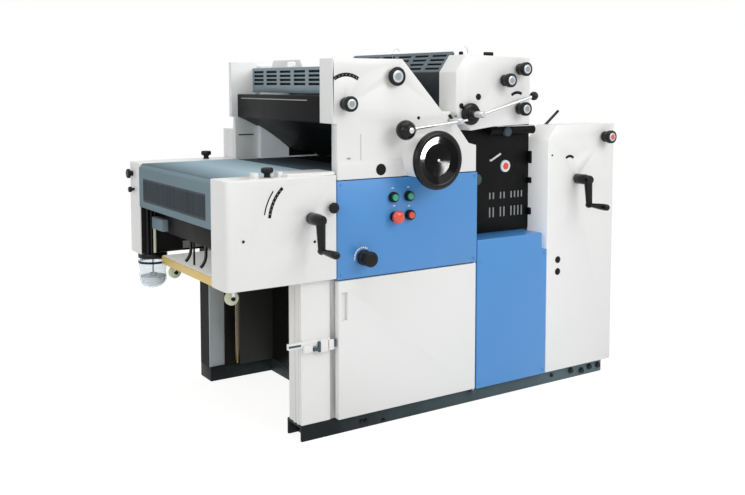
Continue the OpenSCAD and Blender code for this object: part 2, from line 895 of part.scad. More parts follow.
module vent_guard_second() {
    x = second_x0 + 12;
    z0 = second_bottom + 74;
    half = half_w - second_lip;
    lean = [62, 85];
    rise = norm(lean);
    color("dimgray") {
        slab_x(x, x + guard_t) translate([-half, z0]) square([half + frame_y, second_cut_z - z0]);
        translate([x, 0, second_cut_z]) rotate([0, atan2(lean[0], lean[1]), 0])
            slab_x(0, guard_t) difference() {
                translate([-half, 0]) square([half + frame_y, rise]);
                guard_slots(14, 22);
            }
    }
}

// A point on the curve from a to c that leaves a towards b and arrives at c from b
function bend(a, b, c, t) = (1 - t) * (1 - t) * a + 2 * t * (1 - t) * b + t * t * c;

// The black guard over the delivery, with a curved underside
module ink_guard() {
    x0 = head_x0 + ink_guard_in;
    z1 = head_step_z + ink_guard_rise;
    x_back = cylinder_x - cylinder_d / 2 - ink_guard_clear;
    x_low = x_back - ink_guard_foot;
    z_low = head_z + ink_guard_low;
    x_mid = head_back_x - 2;
    steps = 8;
    front = [x0, head_step_z];
    foot = [x_low, z_low];
    crest = [(x0 + x_low) / 2, head_step_z - 0.3 * (head_step_z - z_low)];
    under = [for (i = [0:steps]) bend(front, crest, foot, i / steps)];
    color("black") {
        block([x0, head_lip - half_w, head_step_z], [x_mid, -frame_in, z1]);
        intersection() {
            slab_y(head_low_lip - half_w, -frame_in) polygon(concat(under, [[x_low, head_step_z]]));
            block([x0, -half_w, head_z], [x_mid, -frame_in, head_step_z]);
        }
        intersection() {
            slab_y(frame_in, frame_y) polygon(concat(under, [[x_low, z1], [x0, z1]]));
            block([x0, frame_in, head_z], [x_mid, frame_y, z1]);
        }
        slab_y(-frame_in, frame_in) polygon(concat(under,
            [[x_back, z_low], [x_back, head_step_z - 16], [x_mid, z1], [x0, z1]]));
    }
}

// Rollers and cylinders between the side frames

module roller(at, d) {
    translate([at[0], 0, at[1]]) rotate([90, 0, 0]) cylinder(d = d, h = 2 * frame_in, center = true);
}

module ink_rollers() {
    first_x = vent_x + guard_t + roller_clear + ink_roller_d / 2;
    second_x = second_x1 - second_roller_in;
    color("darkslategray") for (i = [0:2]) {
        roller([first_x + i * roller_pitch, head_top - roller_drop - i * roller_fall], ink_roller_d);
        roller([second_x + i * second_roller_pitch, second_top - roller_drop - i * second_roller_fall],
            ink_roller_d);
    }
}

module print_cylinders() {
    color("silver") for (i = [0:2])
        roller([cylinder_x + i * cylinder_pitch, head_nose_z - cylinder_drop], cylinder_d);
}

// Handwheel, cranks, levers and knobs

module handwheel() {
    r = wheel_d / 2;
    back = 12;
    hub_r = 32;
    web = back + 8;
    web_t = 6;
    rim_w = 30;
    front = back + wheel_rim;
    color("black") on_front(wheel_at, -half_w - boss_h) {
        shaft(back + 1);
        rotate_extrude() polygon([[0, back], [hub_r, back], [hub_r + 2, web], [r - rim_w, web],
            [r - 14, back], [r - 4, back + 5], [r, back + wheel_rim / 2], [r - 4, front - 5],
            [r - 14, front], [r - 24, front - 4], [r - rim_w - 4, web + web_t], [26, web + web_t],
            [20, front - 6], [0, front - 4]]);
    }
}

// A crank that hangs down, with its grip reaching out
module crank(at) {
    hub_d = 44;
    tip_d = 27;
    on_front(at, -half_w) {
        shaft(knob_gap + 1);
        translate([0, 0, knob_gap]) cylinder(d = hub_d, h = crank_hub);
        hull() {
            translate([0, 0, knob_gap + crank_hub - 18]) sphere(d = 36, $fn = 32);
            translate([0, -crank_r, knob_gap + crank_hub - 10]) sphere(d = tip_d, $fn = 32);
        }
        translate([0, -crank_r, knob_gap + crank_hub - 10]) rotate_extrude()
            polygon([[0, 0], [9, 0], [11, crank_grip * 0.4], [14, crank_grip * 0.85], [13, crank_grip - 3],
                [9, crank_grip], [0, crank_grip]]);
    }
}

module delivery_crank() {
    color("black") crank(delivery_crank_at);
}

module feeder_crank() {
    color("black") crank(feeder_crank_at);
}

// A round bar through the lever's hub to its ball
module lever_arm(len, ball, angle, tail) {
    rotate([0, 0, angle]) {
        translate([-tail, 0, 0]) rotate([0, 90, 0]) cylinder(d = bar_d, h = len + tail);
        translate([len, 0, 0]) sphere(d = ball);
    }
}

module print_lever() {
    angle = 186;
    hub_d = 26;
    reach = -print_lever_y - half_w;
    color("silver") on_front(print_lever_at, -half_w) {
        shaft(knob_gap + 1);
        translate([0, 0, knob_gap]) cylinder(d = hub_d, h = reach + bar_d - knob_gap);
        translate([0, 0, reach]) lever_arm(lever_len, lever_ball, angle, 36);
    }
}

module second_lever() {
    angle = 14.4;
    hub_d = 88;
    hub_h = 24;
    stub_d = 26;
    reach = -second_lever_y - half_w;
    color("silver") on_front(second_lever_at, -half_w) {
        shaft(knob_gap + 1);
        translate([0, 0, knob_gap]) cylinder(d = hub_d, h = hub_h);
        translate([0, 0, knob_gap]) cylinder(d = stub_d, h = reach + bar_d - knob_gap);
        translate([0, 0, reach]) lever_arm(second_lever_len, second_ball, angle, 0);
    }
}

// A flared knob with a flat cap
module turn_knob(at, d = knob_d, len = knob_len) {
    r = d / 2;
    on_front(at, -half_w) {
        shaft(knob_gap + 1);
        translate([0, 0, knob_gap]) rotate_extrude() polygon([[0, 0], [r - 5, 0], [r - 6, len * 0.55],
            [r, len * 0.72], [r, len - 4], [r - 4, len], [0, len]]);
    }
}

// A long knob with a skirt, a waist and a front disc
module speed_knob() {
    r = 29;
    waist_r = 21;
    lengths = [12, 36, 58];
    color("black") on_front(speed_knob_at, -half_w) {
        shaft(knob_gap + 1);
        translate([0, 0, knob_gap]) rotate_extrude() polygon([[0, 0], [r, 0], [r, lengths[0]],
            [waist_r, lengths[0] + 6], [waist_r, lengths[1] - 4], [r, lengths[1]], [r, lengths[2] - 4],
            [r - 4, lengths[2]], [0, lengths[2]]]);
    }
}

module upper_ink_knob() {
    color("black") turn_knob(first_knobs_at[0], dial_d, dial_len);
}

module lower_ink_knob() {
    color("black") turn_knob(first_knobs_at[1]);
}

module second_left_knob() {
    color("black") turn_knob(second_knobs_at[0]);
}

module second_upper_knob() {
    color("black") turn_knob(second_knobs_at[1]);
}

module second_lower_knob() {
    color("black") turn_knob(second_knobs_at[2]);
}

module feeder_knob() {
    color("black") turn_knob(feeder_knob_at);
}

// Push buttons on the control panel, each with its bezel

bezel_h = 18;

module push_button(at, bezel_d, cap_d, cap_h) {
    on_front(at, -half_w) {
        cylinder(d = bezel_d, h = bezel_h);
        cylinder(d = cap_d, h = bezel_h + cap_h);
    }
}

button_x = x_panel0 + 245;
button_pitch = 72;
button_z = panel_z + 292;

module start_buttons() {
    color("seagreen") for (i = [0, 1])
        push_button([button_x + i * button_pitch, button_z], 40, 26, 6);
}

module stop_buttons() {
    color("firebrick") {
        push_button([button_x + 7, button_z - 75], 40, 28, 10);
        on_front([button_x + 7, button_z - 75], -half_w - bezel_h - 10) cylinder(d = 52, h = 16);
        push_button([button_x + button_pitch + 4, button_z - 73], 40, 26, 6);
    }
}

// Black fixed knobs on the delivery boxes

module clamp_knobs() {
    color("black") {
        translate([x_end + front_clamp_x, clamp_in - half_w, box_top]) cylinder(d = clamp_d, h = clamp_h);
        translate([x_end + rear_clamp_x, half_w - clamp_in, box_top]) cylinder(d = clamp_d, h = clamp_h);
        translate([x_end, half_w - side_knob_in, box_top - side_knob_drop]) rotate([0, -90, 0])
            cylinder(d = side_knob_d, h = side_knob_len);
        translate([x_end, half_w - low_knob_in, box_top - low_knob_drop]) rotate([0, -90, 0])
            cylinder(d = low_knob_d, h = side_knob_len);
        on_front([x_box1 - front_knob_in, box_z + front_knob_up], -half_w)
            cylinder(d = side_knob_d, h = side_knob_len);
    }
}

base_frame();
front_side_frame();
rear_side_frame();
body_end_panel();
front_post();
rear_post();
pile_guides();
delivery_box_front();
delivery_box_rear();
delivery_hood();
hood_grille();
deck_plate();
delivery_crossbar();
stop_fingers();
pile_board();
pile_castors();
filter_jar();
jar_fittings();
latch_bar();
lower_door();
control_panel();
column_panel();
recess_panel_front();
recess_panel_rear();
rear_body_cover();
feeder_box_front();
feeder_box_rear();
feed_table();
feeder_end_panel();
feed_rod();
head_cover_front();
head_cover_rear();
second_head_cover_front();
second_head_cover_rear();
vent_guard_first();
vent_guard_second();
ink_guard();
ink_rollers();
print_cylinders();
handwheel();
delivery_crank();
feeder_crank();
print_lever();
second_lever();
speed_knob();
upper_ink_knob();
lower_ink_knob();
second_left_knob();
second_upper_knob();
second_lower_knob();
feeder_knob();
start_buttons();
stop_buttons();
clamp_knobs();
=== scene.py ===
"""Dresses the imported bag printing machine: paint, edges, controls and fittings, on the fixed frame."""
import json
import math

import bmesh
import bpy
from mathutils import Matrix, Vector


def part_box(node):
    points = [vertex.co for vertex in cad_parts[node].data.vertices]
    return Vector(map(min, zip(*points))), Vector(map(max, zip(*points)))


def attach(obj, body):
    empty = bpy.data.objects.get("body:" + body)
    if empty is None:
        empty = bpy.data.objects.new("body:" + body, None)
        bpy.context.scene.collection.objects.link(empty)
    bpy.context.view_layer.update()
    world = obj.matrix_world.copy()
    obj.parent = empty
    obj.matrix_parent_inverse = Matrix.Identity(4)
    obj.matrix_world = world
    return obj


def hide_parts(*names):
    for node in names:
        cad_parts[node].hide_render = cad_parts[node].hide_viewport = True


bl_info = {
    "name": "Bag Printing Machine",
    "version": (1, 0, 0),
    "blender": (4, 5, 0),
    "location": "View3D > Sidebar > Printing Machine",
    "description": "Finishes a two-head bag printing machine on its packed frame",
    "category": "Object",
}

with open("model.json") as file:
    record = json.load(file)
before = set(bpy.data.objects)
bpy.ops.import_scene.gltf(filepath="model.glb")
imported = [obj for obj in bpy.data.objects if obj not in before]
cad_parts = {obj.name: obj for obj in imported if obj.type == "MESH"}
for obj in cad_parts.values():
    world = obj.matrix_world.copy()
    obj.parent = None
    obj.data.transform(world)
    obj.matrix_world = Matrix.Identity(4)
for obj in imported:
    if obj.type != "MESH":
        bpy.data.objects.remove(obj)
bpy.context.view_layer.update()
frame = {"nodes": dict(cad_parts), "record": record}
NODES = frame["nodes"]
MACHINE = "machine"
MM = 0.001

# Facings: the matrices that turn a piece's own +Z to the operator, away, up or to the delivery end
FRONT = Matrix.Rotation(math.radians(90), 4, "X")
REAR = Matrix.Rotation(math.radians(-90), 4, "X")
UP = Matrix.Identity(4)
DELIVERY = Matrix.Rotation(math.radians(-90), 4, "Y")


def mm(*values):
    """Millimetres as metres."""
    return tuple(v * MM for v in values)


def span(node):
    """The low and high corner of a node's box, in millimetres."""
    return [[v / MM for v in corner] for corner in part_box(node)]


# Shapes are given in millimetres: the plane of the front covers, and the pivots of the bodies that move
FACE = span("control_panel")[0][1]
JOINTS = frame["record"]["behaviour"]["joints"]
PIVOTS = {joint["child"]: [v / MM for v in joint["pos_m"]] for joint in JOINTS if "pos_m" in joint}


def linear(code):
    """A six-digit sRGB colour code as linear red, green and blue."""
    parts = [int(code[i:i + 2], 16) / 255 for i in (0, 2, 4)]
    return tuple(c / 12.92 if c <= 0.04045 else ((c + 0.055) / 1.055) ** 2.4 for c in parts)


def colour_prop(label, words, code):
    return bpy.props.FloatVectorProperty(name=label, description=words, subtype="COLOR", size=3,
                                         min=0, max=1, default=linear(code))


def length_prop(label, words, value):
    return bpy.props.FloatProperty(name=label, description=words, unit="LENGTH", min=0, default=value * MM)


class FinishColours(bpy.types.PropertyGroup):
    """Colours of the machine's finishes"""
    cover: colour_prop("Cover", "Off-white enamel of the covers", "EDEDEB")
    panel: colour_prop("Panel", "Blue enamel of the panels", "4A90D2")
    hood: colour_prop("Hood", "Blue-grey paint of the delivery hood", "7F9199")
    guard: colour_prop("Guard", "Grey paint of guards and deck", "536168")
    grille: colour_prop("Grille", "Dark sheet in the hood's end face", "394247")
    shade: colour_prop("Shade", "Dark lower part of the second guard", "2F3437")
    base: colour_prop("Base", "Teal-grey paint of the base rails", "56696E")
    inner: colour_prop("Inner wall", "Pale paint of the side frames above the deck", "E6ECF0")
    post: colour_prop("Post", "Grey-blue paint of the rear post", "BAC7CE")
    black: colour_prop("Black", "Black paint of the inner frames", "161615")
    plastic: colour_prop("Plastic", "Black moulded plastic", "0B0B0B")
    cap: colour_prop("Cap", "Pale caps of the adjusting knobs", "C9D1D8")
    board: colour_prop("Board", "Varnished edge of the pile board", "F2D27E")
    castor: colour_prop("Castor", "Cream castor wheels", "D6DCC0")
    red: colour_prop("Red", "Red buttons and caps", "E24A35")
    green: colour_prop("Green", "Green buttons", "25A07F")
    rubber: colour_prop("Rubber", "Ink roller covering", "2A3436")


class FinishSizes(bpy.types.PropertyGroup):
    """Sizes of edges and small fittings"""
    cover_edge: length_prop("Cover edge", "Radius of the folded cover edges", 4)
    sheet_edge: length_prop("Sheet edge", "Radius of thin sheet edges", 1)
    screw_d: length_prop("Screw", "Diameter of a cover screw's head", 9)
    screw_h: length_prop("Screw height", "Height of a cover screw's head", 2.5)
    hole_w: length_prop("Perforation", "Width of an upright slot in the hood", 4.5)
    hole_h: length_prop("Perforation height", "Height of an upright slot in the hood", 82)
    hole_pitch: length_prop("Perforation pitch", "Spacing of the slots along a row", 9.2)
    row_pitch: length_prop("Row pitch", "Spacing of the rows of slots", 96)


def size(name):
    """One of the user's sizes, in millimetres."""
    return getattr(bpy.context.scene.machine_sizes, name) / MM


def shade(name, factor=1.0):
    """One of the user's colours, made lighter or darker."""
    return tuple(min(1.0, c * factor) for c in getattr(bpy.context.scene.machine_colours, name))


def shades(name, low, high):
    """A darker and a lighter shade of one of the user's colours."""
    return shade(name, low), shade(name, high)


# Node graphs

class Socket:
    """An output socket that can be used in Python expressions on numbers."""

    def __init__(self, graph, socket):
        self.graph = graph
        self.socket = socket

    def math(self, operation, first, second):
        return self.graph.node("ShaderNodeMath", {"operation": operation}, {0: first, 1: second})

    def __add__(self, other):
        return self.math("ADD", self, other)

    def __radd__(self, other):
        return self.math("ADD", other, self)

    def __sub__(self, other):
        return self.math("SUBTRACT", self, other)

    def __rsub__(self, other):
        return self.math("SUBTRACT", other, self)

    def __mul__(self, other):
        return self.math("MULTIPLY", self, other)

    def __rmul__(self, other):
        return self.math("MULTIPLY", other, self)


class Graph:
    """A node tree with one method that makes any node."""

    def __init__(self, tree):
        self.tree = tree

    def node(self, kind, settings=None, inputs=None, output=0):
        made = self.tree.nodes.new(kind)
        for key, value in (settings or {}).items():
            setattr(made, key, value)
        for key, value in (inputs or {}).items():
            self.feed(made.inputs[key], value)
        return Socket(self, made.outputs[output]) if made.outputs else made

    def feed(self, target, value):
        if isinstance(value, (list, tuple)) and value and isinstance(value[0], Socket):
            for item in value:
                self.tree.links.new(item.socket, target)
        elif isinstance(value, Socket):
            self.tree.links.new(value.socket, target)
        else:
            target.default_value = value


class Finish(Graph):
    """A material in the making: object coordinates in, one principled surface out."""

    def __init__(self, name):
        self.material = bpy.data.materials.new(name)
        self.material.use_nodes = True
        super().__init__(self.material.node_tree)
        self.tree.nodes.clear()
        self.spot = self.node("ShaderNodeTexCoord", output="Object")

    def noise(self, scale, detail=2.0, stretch=None):
        """Clouds of a given scale and detail, stretched by three factors where they are given."""
        spot = self.spot
        if stretch:
            spot = self.node("ShaderNodeMapping", None, {"Vector": spot, "Scale": stretch})
        return self.node("ShaderNodeTexNoise", None,
                         {"Vector": spot, "Scale": scale, "Detail": detail, "Roughness": 0.55})

    def along(self, axis):
        """The place of each point along one axis, in metres."""
        return self.node("ShaderNodeSeparateXYZ", None, {0: self.spot}, output=axis)

    def above(self, level):
        """One above a height in millimetres, nothing below it."""
        return self.node("ShaderNodeMath", {"operation": "GREATER_THAN"}, {0: self.along("Z"), 1: level * MM})

    def tint(self, factor, low, high):
        """A colour between two others, each a socket or plain red, green and blue."""
        low, high = [c if isinstance(c, Socket) else (*c, 1) for c in (low, high)]
        return self.node("ShaderNodeMix", {"data_type": "RGBA"}, {"Factor": factor, "A": low, "B": high},
                         output="Result")

    def bump(self, height, strength, distance):
        return self.node("ShaderNodeBump", None,
                         {"Height": height, "Strength": strength, "Distance": distance * MM})

    def surface(self, **inputs):
        names = {key.replace("_", " "): value for key, value in inputs.items()}
        shader = self.node("ShaderNodeBsdfPrincipled", None, names)
        self.node("ShaderNodeOutputMaterial", None, {"Surface": shader})
        return self.material


MADE = {}


def finish(maker):
    """Runs a material's function once and keeps the result."""
    if maker.__name__ not in MADE:
        MADE[maker.__name__] = maker()
    return MADE[maker.__name__]


# Materials

def enamel(name, colour, rough, shift=0.05, coat=0.25, gloss=0.5):
    """Sprayed enamel: faint clouding, orange peel and a handled, slightly duller skin."""
    made = Finish(name)
    cloud = made.noise(3.2, 3.0)
    smudge = made.noise(17.0, 4.0)
    peel = made.noise(420.0, 1.0)
    base = made.tint(cloud * 0.7 + smudge * 0.3, *shades(colour, 1 - shift, 1 + shift))
    return made.surface(Base_Color=base, Roughness=rough - 0.06 + smudge * 0.12, Coat_Weight=coat,
                        Coat_Roughness=0.12, Specular_IOR_Level=gloss, Normal=made.bump(peel, 0.06, 0.4))


def mottled(name, grain, pair, rough, vary, bump=None, **constant):
    """A finish whose colour and roughness follow one noise; bump holds its strength and distance."""
    made = Finish(name)
    cloud = made.noise(*grain)
    if bump:
        constant["Normal"] = made.bump(cloud, *bump)
    return made.surface(Base_Color=made.tint(cloud, *pair), Roughness=rough + cloud * vary, **constant)


def two_tone(name, grain, level, low, high):
    """A finish in the making with one pair of shades below a level and another above; also its noise."""
    made = Finish(name)
    cloud = made.noise(*grain)
    return made, cloud, made.tint(made.above(level), made.tint(cloud, *low), made.tint(cloud, *high))


def white_enamel():
    return enamel("white_enamel", "cover", 0.34, 0.018)


def blue_enamel():
    return enamel("blue_enamel", "panel", 0.36, 0.03, 0.2)


def guard_paint():
    return enamel("guard_paint", "guard", 0.42, 0.08, 0.0, 0.0)


def post_paint():
    return enamel("post_paint", "post", 0.3, 0.12, 0.3)


def hood_paint():
    """Satin hood paint, its top in painted shade with a painted sheen growing paler towards the deck."""
    made = Finish("hood_paint")
    cloud = made.noise(4.0, 3.0)
    # Painted sheen: along X the top's colour grows paler from the hood's free end towards the deck
    free_end, fade = 0.94, 4.4
    painted_sheen = made.node("ShaderNodeMath", {"operation": "MULTIPLY", "use_clamp": True},
                         {0: made.along("X") + free_end, 1: fade})
    top = made.above(span("delivery_hood")[1][2] - 4)
    # Painted light: the top goes from a darker shade up to the painted sheen, the end face keeps a middle
    # shade
    tone_and_painted_sheen = 0.24 + top * (painted_sheen - 0.24) + cloud * 0.1
    base = made.tint(tone_and_painted_sheen, *shades("hood", 0.66, 2.1))
    return made.surface(Base_Color=base, Roughness=0.44 + cloud * 0.1, Specular_IOR_Level=0.0)


def base_paint():
    """Machine paint: near black at the delivery end, growing teal grey towards the feeder."""
    made = Finish("base_paint")
    cloud = made.noise(9.0, 4.0)
    grit = made.noise(160.0, 2.0)
    along = made.along("X") * 0.75 + 0.42
    base = made.tint(along + cloud * 0.4 - 0.2, *shades("base", 0.06, 1.15))
    return made.surface(Base_Color=base, Roughness=0.4 + grit * 0.18, Specular_IOR_Level=0.2,
                        Normal=made.bump(grit, 0.25, 0.6))


def black_paint():
    """Oily black paint of the frames and the parts inside."""
    made = Finish("black_paint")
    cloud = made.noise(11.0, 4.0)
    grit = made.noise(220.0, 2.0)
    base = made.tint(cloud, *shades("black", 0.6, 1.5))
    return made.surface(Base_Color=base, Roughness=0.34 + cloud * 0.2, Specular_IOR_Level=0.08,
                        Normal=made.bump(grit, 0.12, 0.5))


def frame_paint():
    """The side frames: black round the pile well, pale grey above the deck, with a faint painted glow."""
    made, cloud, base = two_tone("frame_paint", (6.0, 4.0), span("deck_plate")[1][2],
                                 shades("black", 0.7, 1.6), shades("inner", 0.9, 1.05))
    # The emission is a faint painted glow that brightens the frames though they are no lamp
    return made.surface(Base_Color=base, Roughness=0.36 + cloud * 0.18, Specular_IOR_Level=0.3,
                        Emission_Color=base, Emission_Strength=0.1)


def tab_paint():
    """The first guard: grey sheet with a white handle tab along its top."""
    white = shade("cover")
    made, cloud, base = two_tone("tab_paint", (12.0, 3.0), span("vent_guard_first")[1][2] - 30,
                                 shades("guard", 2.3, 2.8), (white, white))
    return made.surface(Base_Color=base, Roughness=0.34 + cloud * 0.1, Coat_Weight=0.2)


def deep_guard():
    """The second guard: grey slotted slope over a dark upright sheet."""
    made, cloud, base = two_tone("deep_guard", (12.0, 3.0), span("vent_guard_second")[1][2] - 84,
                                 shades("shade", 0.85, 1.2), shades("guard", 1.1, 1.35))
    return made.surface(Base_Color=base, Roughness=0.34 + cloud * 0.1, Specular_IOR_Level=0.35)


def grille_paint():
    """Dark sheet behind the slots, with upright streaks."""
    streaks = (1.0, 2.0, (60.0, 110.0, 3.0))
    return mottled("grille_paint", streaks, shades("grille", 0.55, 2.0), 0.6, 0.0,
                   Specular_IOR_Level=0.2)


def black_plastic():
    """Polished black plastic with fine handling marks."""
    return mottled("black_plastic", (60.0, 3.0), shades("plastic", 0.8, 1.6), 0.1, 0.14,
                   Specular_IOR_Level=0.26)


def spun_black():
    """Black lacquer over the handwheel's dish, turned in fine rings round the wheel's axis."""
    made = Finish("spun_black")
    x, _, z = mm(*PIVOTS["handwheel"])
    off = made.node("ShaderNodeVectorMath", {"operation": "SUBTRACT"}, {0: made.spot, 1: (x, 0, z)})
    flat = made.node("ShaderNodeVectorMath", {"operation": "MULTIPLY"}, {0: off, 1: (1, 0, 1)})
    radius = made.node("ShaderNodeVectorMath", {"operation": "LENGTH"}, {0: flat}, output="Value")
    ring_rate, flat_radius = 4200.0, 60
    wave = made.node("ShaderNodeMath", {"operation": "SINE"}, {0: radius * ring_rate})
    inside = made.node("ShaderNodeMath", {"operation": "LESS_THAN"}, {0: radius, 1: flat_radius * MM})
    rings = wave * inside
    haze = made.noise(50.0, 3.0)
    base = made.tint(haze, *shades("plastic", 0.8, 1.8))
    return made.surface(Base_Color=base, Roughness=0.08 + haze * 0.08, Specular_IOR_Level=0.07,
                        Normal=made.bump(rings, 0.14, 0.4))


def grip_plastic():
    """Moulded black plastic with a fine grain, for grips and knob skirts."""
    made = Finish("grip_plastic")
    grain = made.noise(900.0, 1.0)
    base = made.tint(made.noise(40.0), *shades("plastic", 0.9, 1.9))
    return made.surface(Base_Color=base, Roughness=0.3 + grain * 0.12, Specular_IOR_Level=0.24,
                        Normal=made.bump(grain, 0.2, 0.3))


def cap_metal():
    """Pale anodised caps."""
    return mottled("cap_metal", (90.0, 2.0), shades("cap", 0.8, 1.15), 0.2, 0.12, Metallic=0.2)


def bright_steel():
    return mottled("bright_steel", (240.0, 2.0), ((0.50, 0.51, 0.52), (0.72, 0.73, 0.74)), 0.14, 0.12,
                   Metallic=1.0)


def ground_steel():
    """Steel ground round its axis, in fine bands across the machine."""
    return mottled("ground_steel", (12.0, 3.0, (1.0, 60.0, 1.0)), ((0.42, 0.43, 0.44), (0.62, 0.63, 0.64)),
                   0.22, 0.16, (0.05, 0.3), Metallic=1.0)


def ink_rubber():
    """Roller rubber with a thin film of ink."""
    film = (7.0, 3.0, (1.0, 3.0, 1.0))
    return mottled("ink_rubber", film, shades("rubber", 0.6, 1.5), 0.2, 0.25)


def yellow_wood():
    """Varnished plywood: plies along the edge and a fine grain across the board."""
    made = Finish("yellow_wood")
    grain = made.noise(14.0, 5.0, (6.0, 0.8, 10.0))
    plies = made.node("ShaderNodeTexWave", {"bands_direction": "Z"},
                      {"Vector": made.spot, "Scale": 90.0, "Distortion": 1.5, "Detail": 2.0}, output="Fac")
    mixed = grain * 0.65 + plies * 0.35
    base = made.tint(mixed, *shades("board", 0.84, 1.1))
    return made.surface(Base_Color=base, Roughness=0.3 + grain * 0.2, Normal=made.bump(mixed, 0.12, 0.5))


def board_laminate():
    """White laminate of the pile board, with a faint painted glow."""
    made = Finish("board_laminate")
    cloud = made.noise(6.0, 3.0)
    base = made.tint(cloud, linear("F4F4F1"), linear("FDFDFB"))
    # The emission is a painted glow that lifts the board out of the shade under the hood
    return made.surface(Base_Color=base, Roughness=0.4 + cloud * 0.1, Emission_Color=base,
                        Emission_Strength=0.3)


def cream_plastic():
    return mottled("cream_plastic", (45.0, 3.0), shades("castor", 0.86, 1.06), 0.36, 0.14)


def signal_plastic(name, colour):
    return mottled(name, (120.0, 2.0), shades(colour, 0.88, 1.1), 0.2, 0.08,
                   Coat_Weight=0.5, Coat_Roughness=0.1)


def red_plastic():
    return signal_plastic("red_plastic", "red")


def green_plastic():
    return signal_plastic("green_plastic", "green")


def dark_slot():
    return mottled("dark_slot", (70.0, 2.0), ((0.006, 0.006, 0.006), (0.016, 0.016, 0.016)), 0.55, 0.2,
                   Specular_IOR_Level=0.14)


def print_white():
    return mottled("print_white", (200.0, 2.0), (linear("DDE3E6"), linear("F2F5F6")), 0.42, 0.1)


def print_grey():
    return mottled("print_grey", (200.0, 2.0), (linear("8E9496"), linear("A3A8AA")), 0.42, 0.1)


def clear_glass():
    made = Finish("clear_glass")
    haze = made.noise(30.0, 2.0)
    return made.surface(Base_Color=(0.90, 0.95, 0.97, 1), Roughness=0.03 + haze * 0.05,
                        Transmission_Weight=0.85, IOR=1.3)


def brass_tube():
    return mottled("brass_tube", (80.0, 2.0), (linear("B79A4E"), linear("D6BE7C")), 0.3, 0.15, Metallic=0.5)


# Mesh helpers

def add_piece(name, mesh, body=MACHINE, replaces=()):
    """Links a painted mesh and puts it on its body."""
    piece = bpy.data.objects.new(name, mesh)
    bpy.context.scene.collection.objects.link(piece)
    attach(piece, body)
    if replaces:
        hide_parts(*replaces)
    return piece


def smooth(mesh, crease):
    """Shades a mesh smooth, apart from creases sharper than an angle in degrees."""
    mesh.shade_smooth()
    mesh.set_sharp_from_angle(angle=math.radians(crease))


def place(name, bm, paint, body=MACHINE, replaces=(), crease=40):
    """Makes a painted piece of a bmesh, with clean normals."""
    bmesh.ops.recalc_face_normals(bm, faces=bm.faces)
    mesh = bpy.data.meshes.new(name)
    bm.to_mesh(mesh)
    bm.free()
    smooth(mesh, crease)
    mesh.materials.append(finish(paint))
    return add_piece(name, mesh, body, replaces)


def evaluated_mesh(obj, name):
    """The mesh of an object with its modifiers applied; the object is removed."""
    graph = bpy.context.evaluated_depsgraph_get()
    mesh = bpy.data.meshes.new_from_object(obj.evaluated_get(graph), depsgraph=graph)
    mesh.name = name
    bpy.data.objects.remove(obj)
    return mesh


def edge_room(edge):
    """The least width, across the edge, of the two faces beside it."""
    start = edge.verts[0].co
    along = (edge.verts[1].co - start).normalized()
    rooms = []
    for face in edge.link_faces:
        reaches = [vert.co - start for vert in face.verts]
        rooms.append(max((reach - along * reach.dot(along)).length for reach in reaches))
    return min(rooms)


# The most that a rounded edge takes of the narrower face beside it
ROOM_SHARE = 0.24


def softened(node, paint, width, body=MACHINE, segments=3, corner=32):
    """A copy of a node's solid with its outer edges rounded, less where a face is narrow."""
    bm = bmesh.new()
    bm.from_mesh(NODES[node].data)
    bmesh.ops.remove_doubles(bm, verts=bm.verts, dist=0.01 * MM)
    bmesh.ops.dissolve_limit(bm, angle_limit=math.radians(1), verts=bm.verts, edges=bm.edges)
    weight = bm.edges.layers.float.new("bevel_weight_edge")
    for edge in bm.edges:
        if len(edge.link_faces) == 2 and edge.is_convex and edge.calc_face_angle() > math.radians(corner):
            edge[weight] = min(1.0, edge_room(edge) * ROOM_SHARE / (width * MM))
    rough = bpy.data.meshes.new(node + "_rough")
    bm.to_mesh(rough)
    bm.free()
    holder = bpy.data.objects.new(node + "_rough", rough)
    bpy.context.scene.collection.objects.link(holder)
    bevel = holder.modifiers.new("edge", "BEVEL")
    bevel.width = width * MM
    bevel.segments = segments
    bevel.limit_method = "WEIGHT"
    bevel.use_clamp_overlap = False
    mesh = evaluated_mesh(holder, node + "_skin")
    mesh.materials.clear()
    mesh.materials.append(finish(paint))
    smooth(mesh, 38)
    return add_piece(node + "_skin", mesh, body, (node,))


def circle(bm, matrix, radius, height, sides):
    """Adds a ring of points round a matrix's own Z, or one point where the radius is nothing."""
    if not radius:
        return [bm.verts.new(matrix @ Vector(mm(0, 0, height)))]
    turns = [2 * math.pi * i / sides for i in range(sides)]
    spots = [mm(radius * math.cos(a), radius * math.sin(a), height) for a in turns]
    return [bm.verts.new(matrix @ Vector(spot)) for spot in spots]


def lathe(bm, profile, matrix, sides=48):
    """Revolves (radius, height) pairs round the matrix's own Z and adds the shape to bm."""
    rings = [circle(bm, matrix, radius, height, sides) for radius, height in profile]
    for low, high in zip(rings, rings[1:]):
        for i in range(sides):
            j = i + 1
            quad = [low[i % len(low)], low[j % len(low)], high[j % len(high)], high[i % len(high)]]
            bm.faces.new(list(dict.fromkeys(quad)))


def ring_path(bm, points, radius, sides=16, taper=None):
    """Sweeps a round section along points, with closed ends; taper gives each point's own radius."""
    points = [Vector(point) for point in points]
    rings = []
    for i, point in enumerate(points):
        before = points[max(i - 1, 0)]
        after = points[min(i + 1, len(points) - 1)]
        turn = (after - before).to_track_quat("Z", "Y").to_matrix().to_4x4()
        rings.append(circle(bm, at(*point, turn), taper[i] if taper else radius, 0, sides))
    for low, high in zip(rings, rings[1:]):
        for i in range(sides):
            j = (i + 1) % sides
            bm.faces.new((low[i], low[j], high[j], high[i]))
    for ring in (rings[0], rings[-1]):
        bm.faces.new(ring)


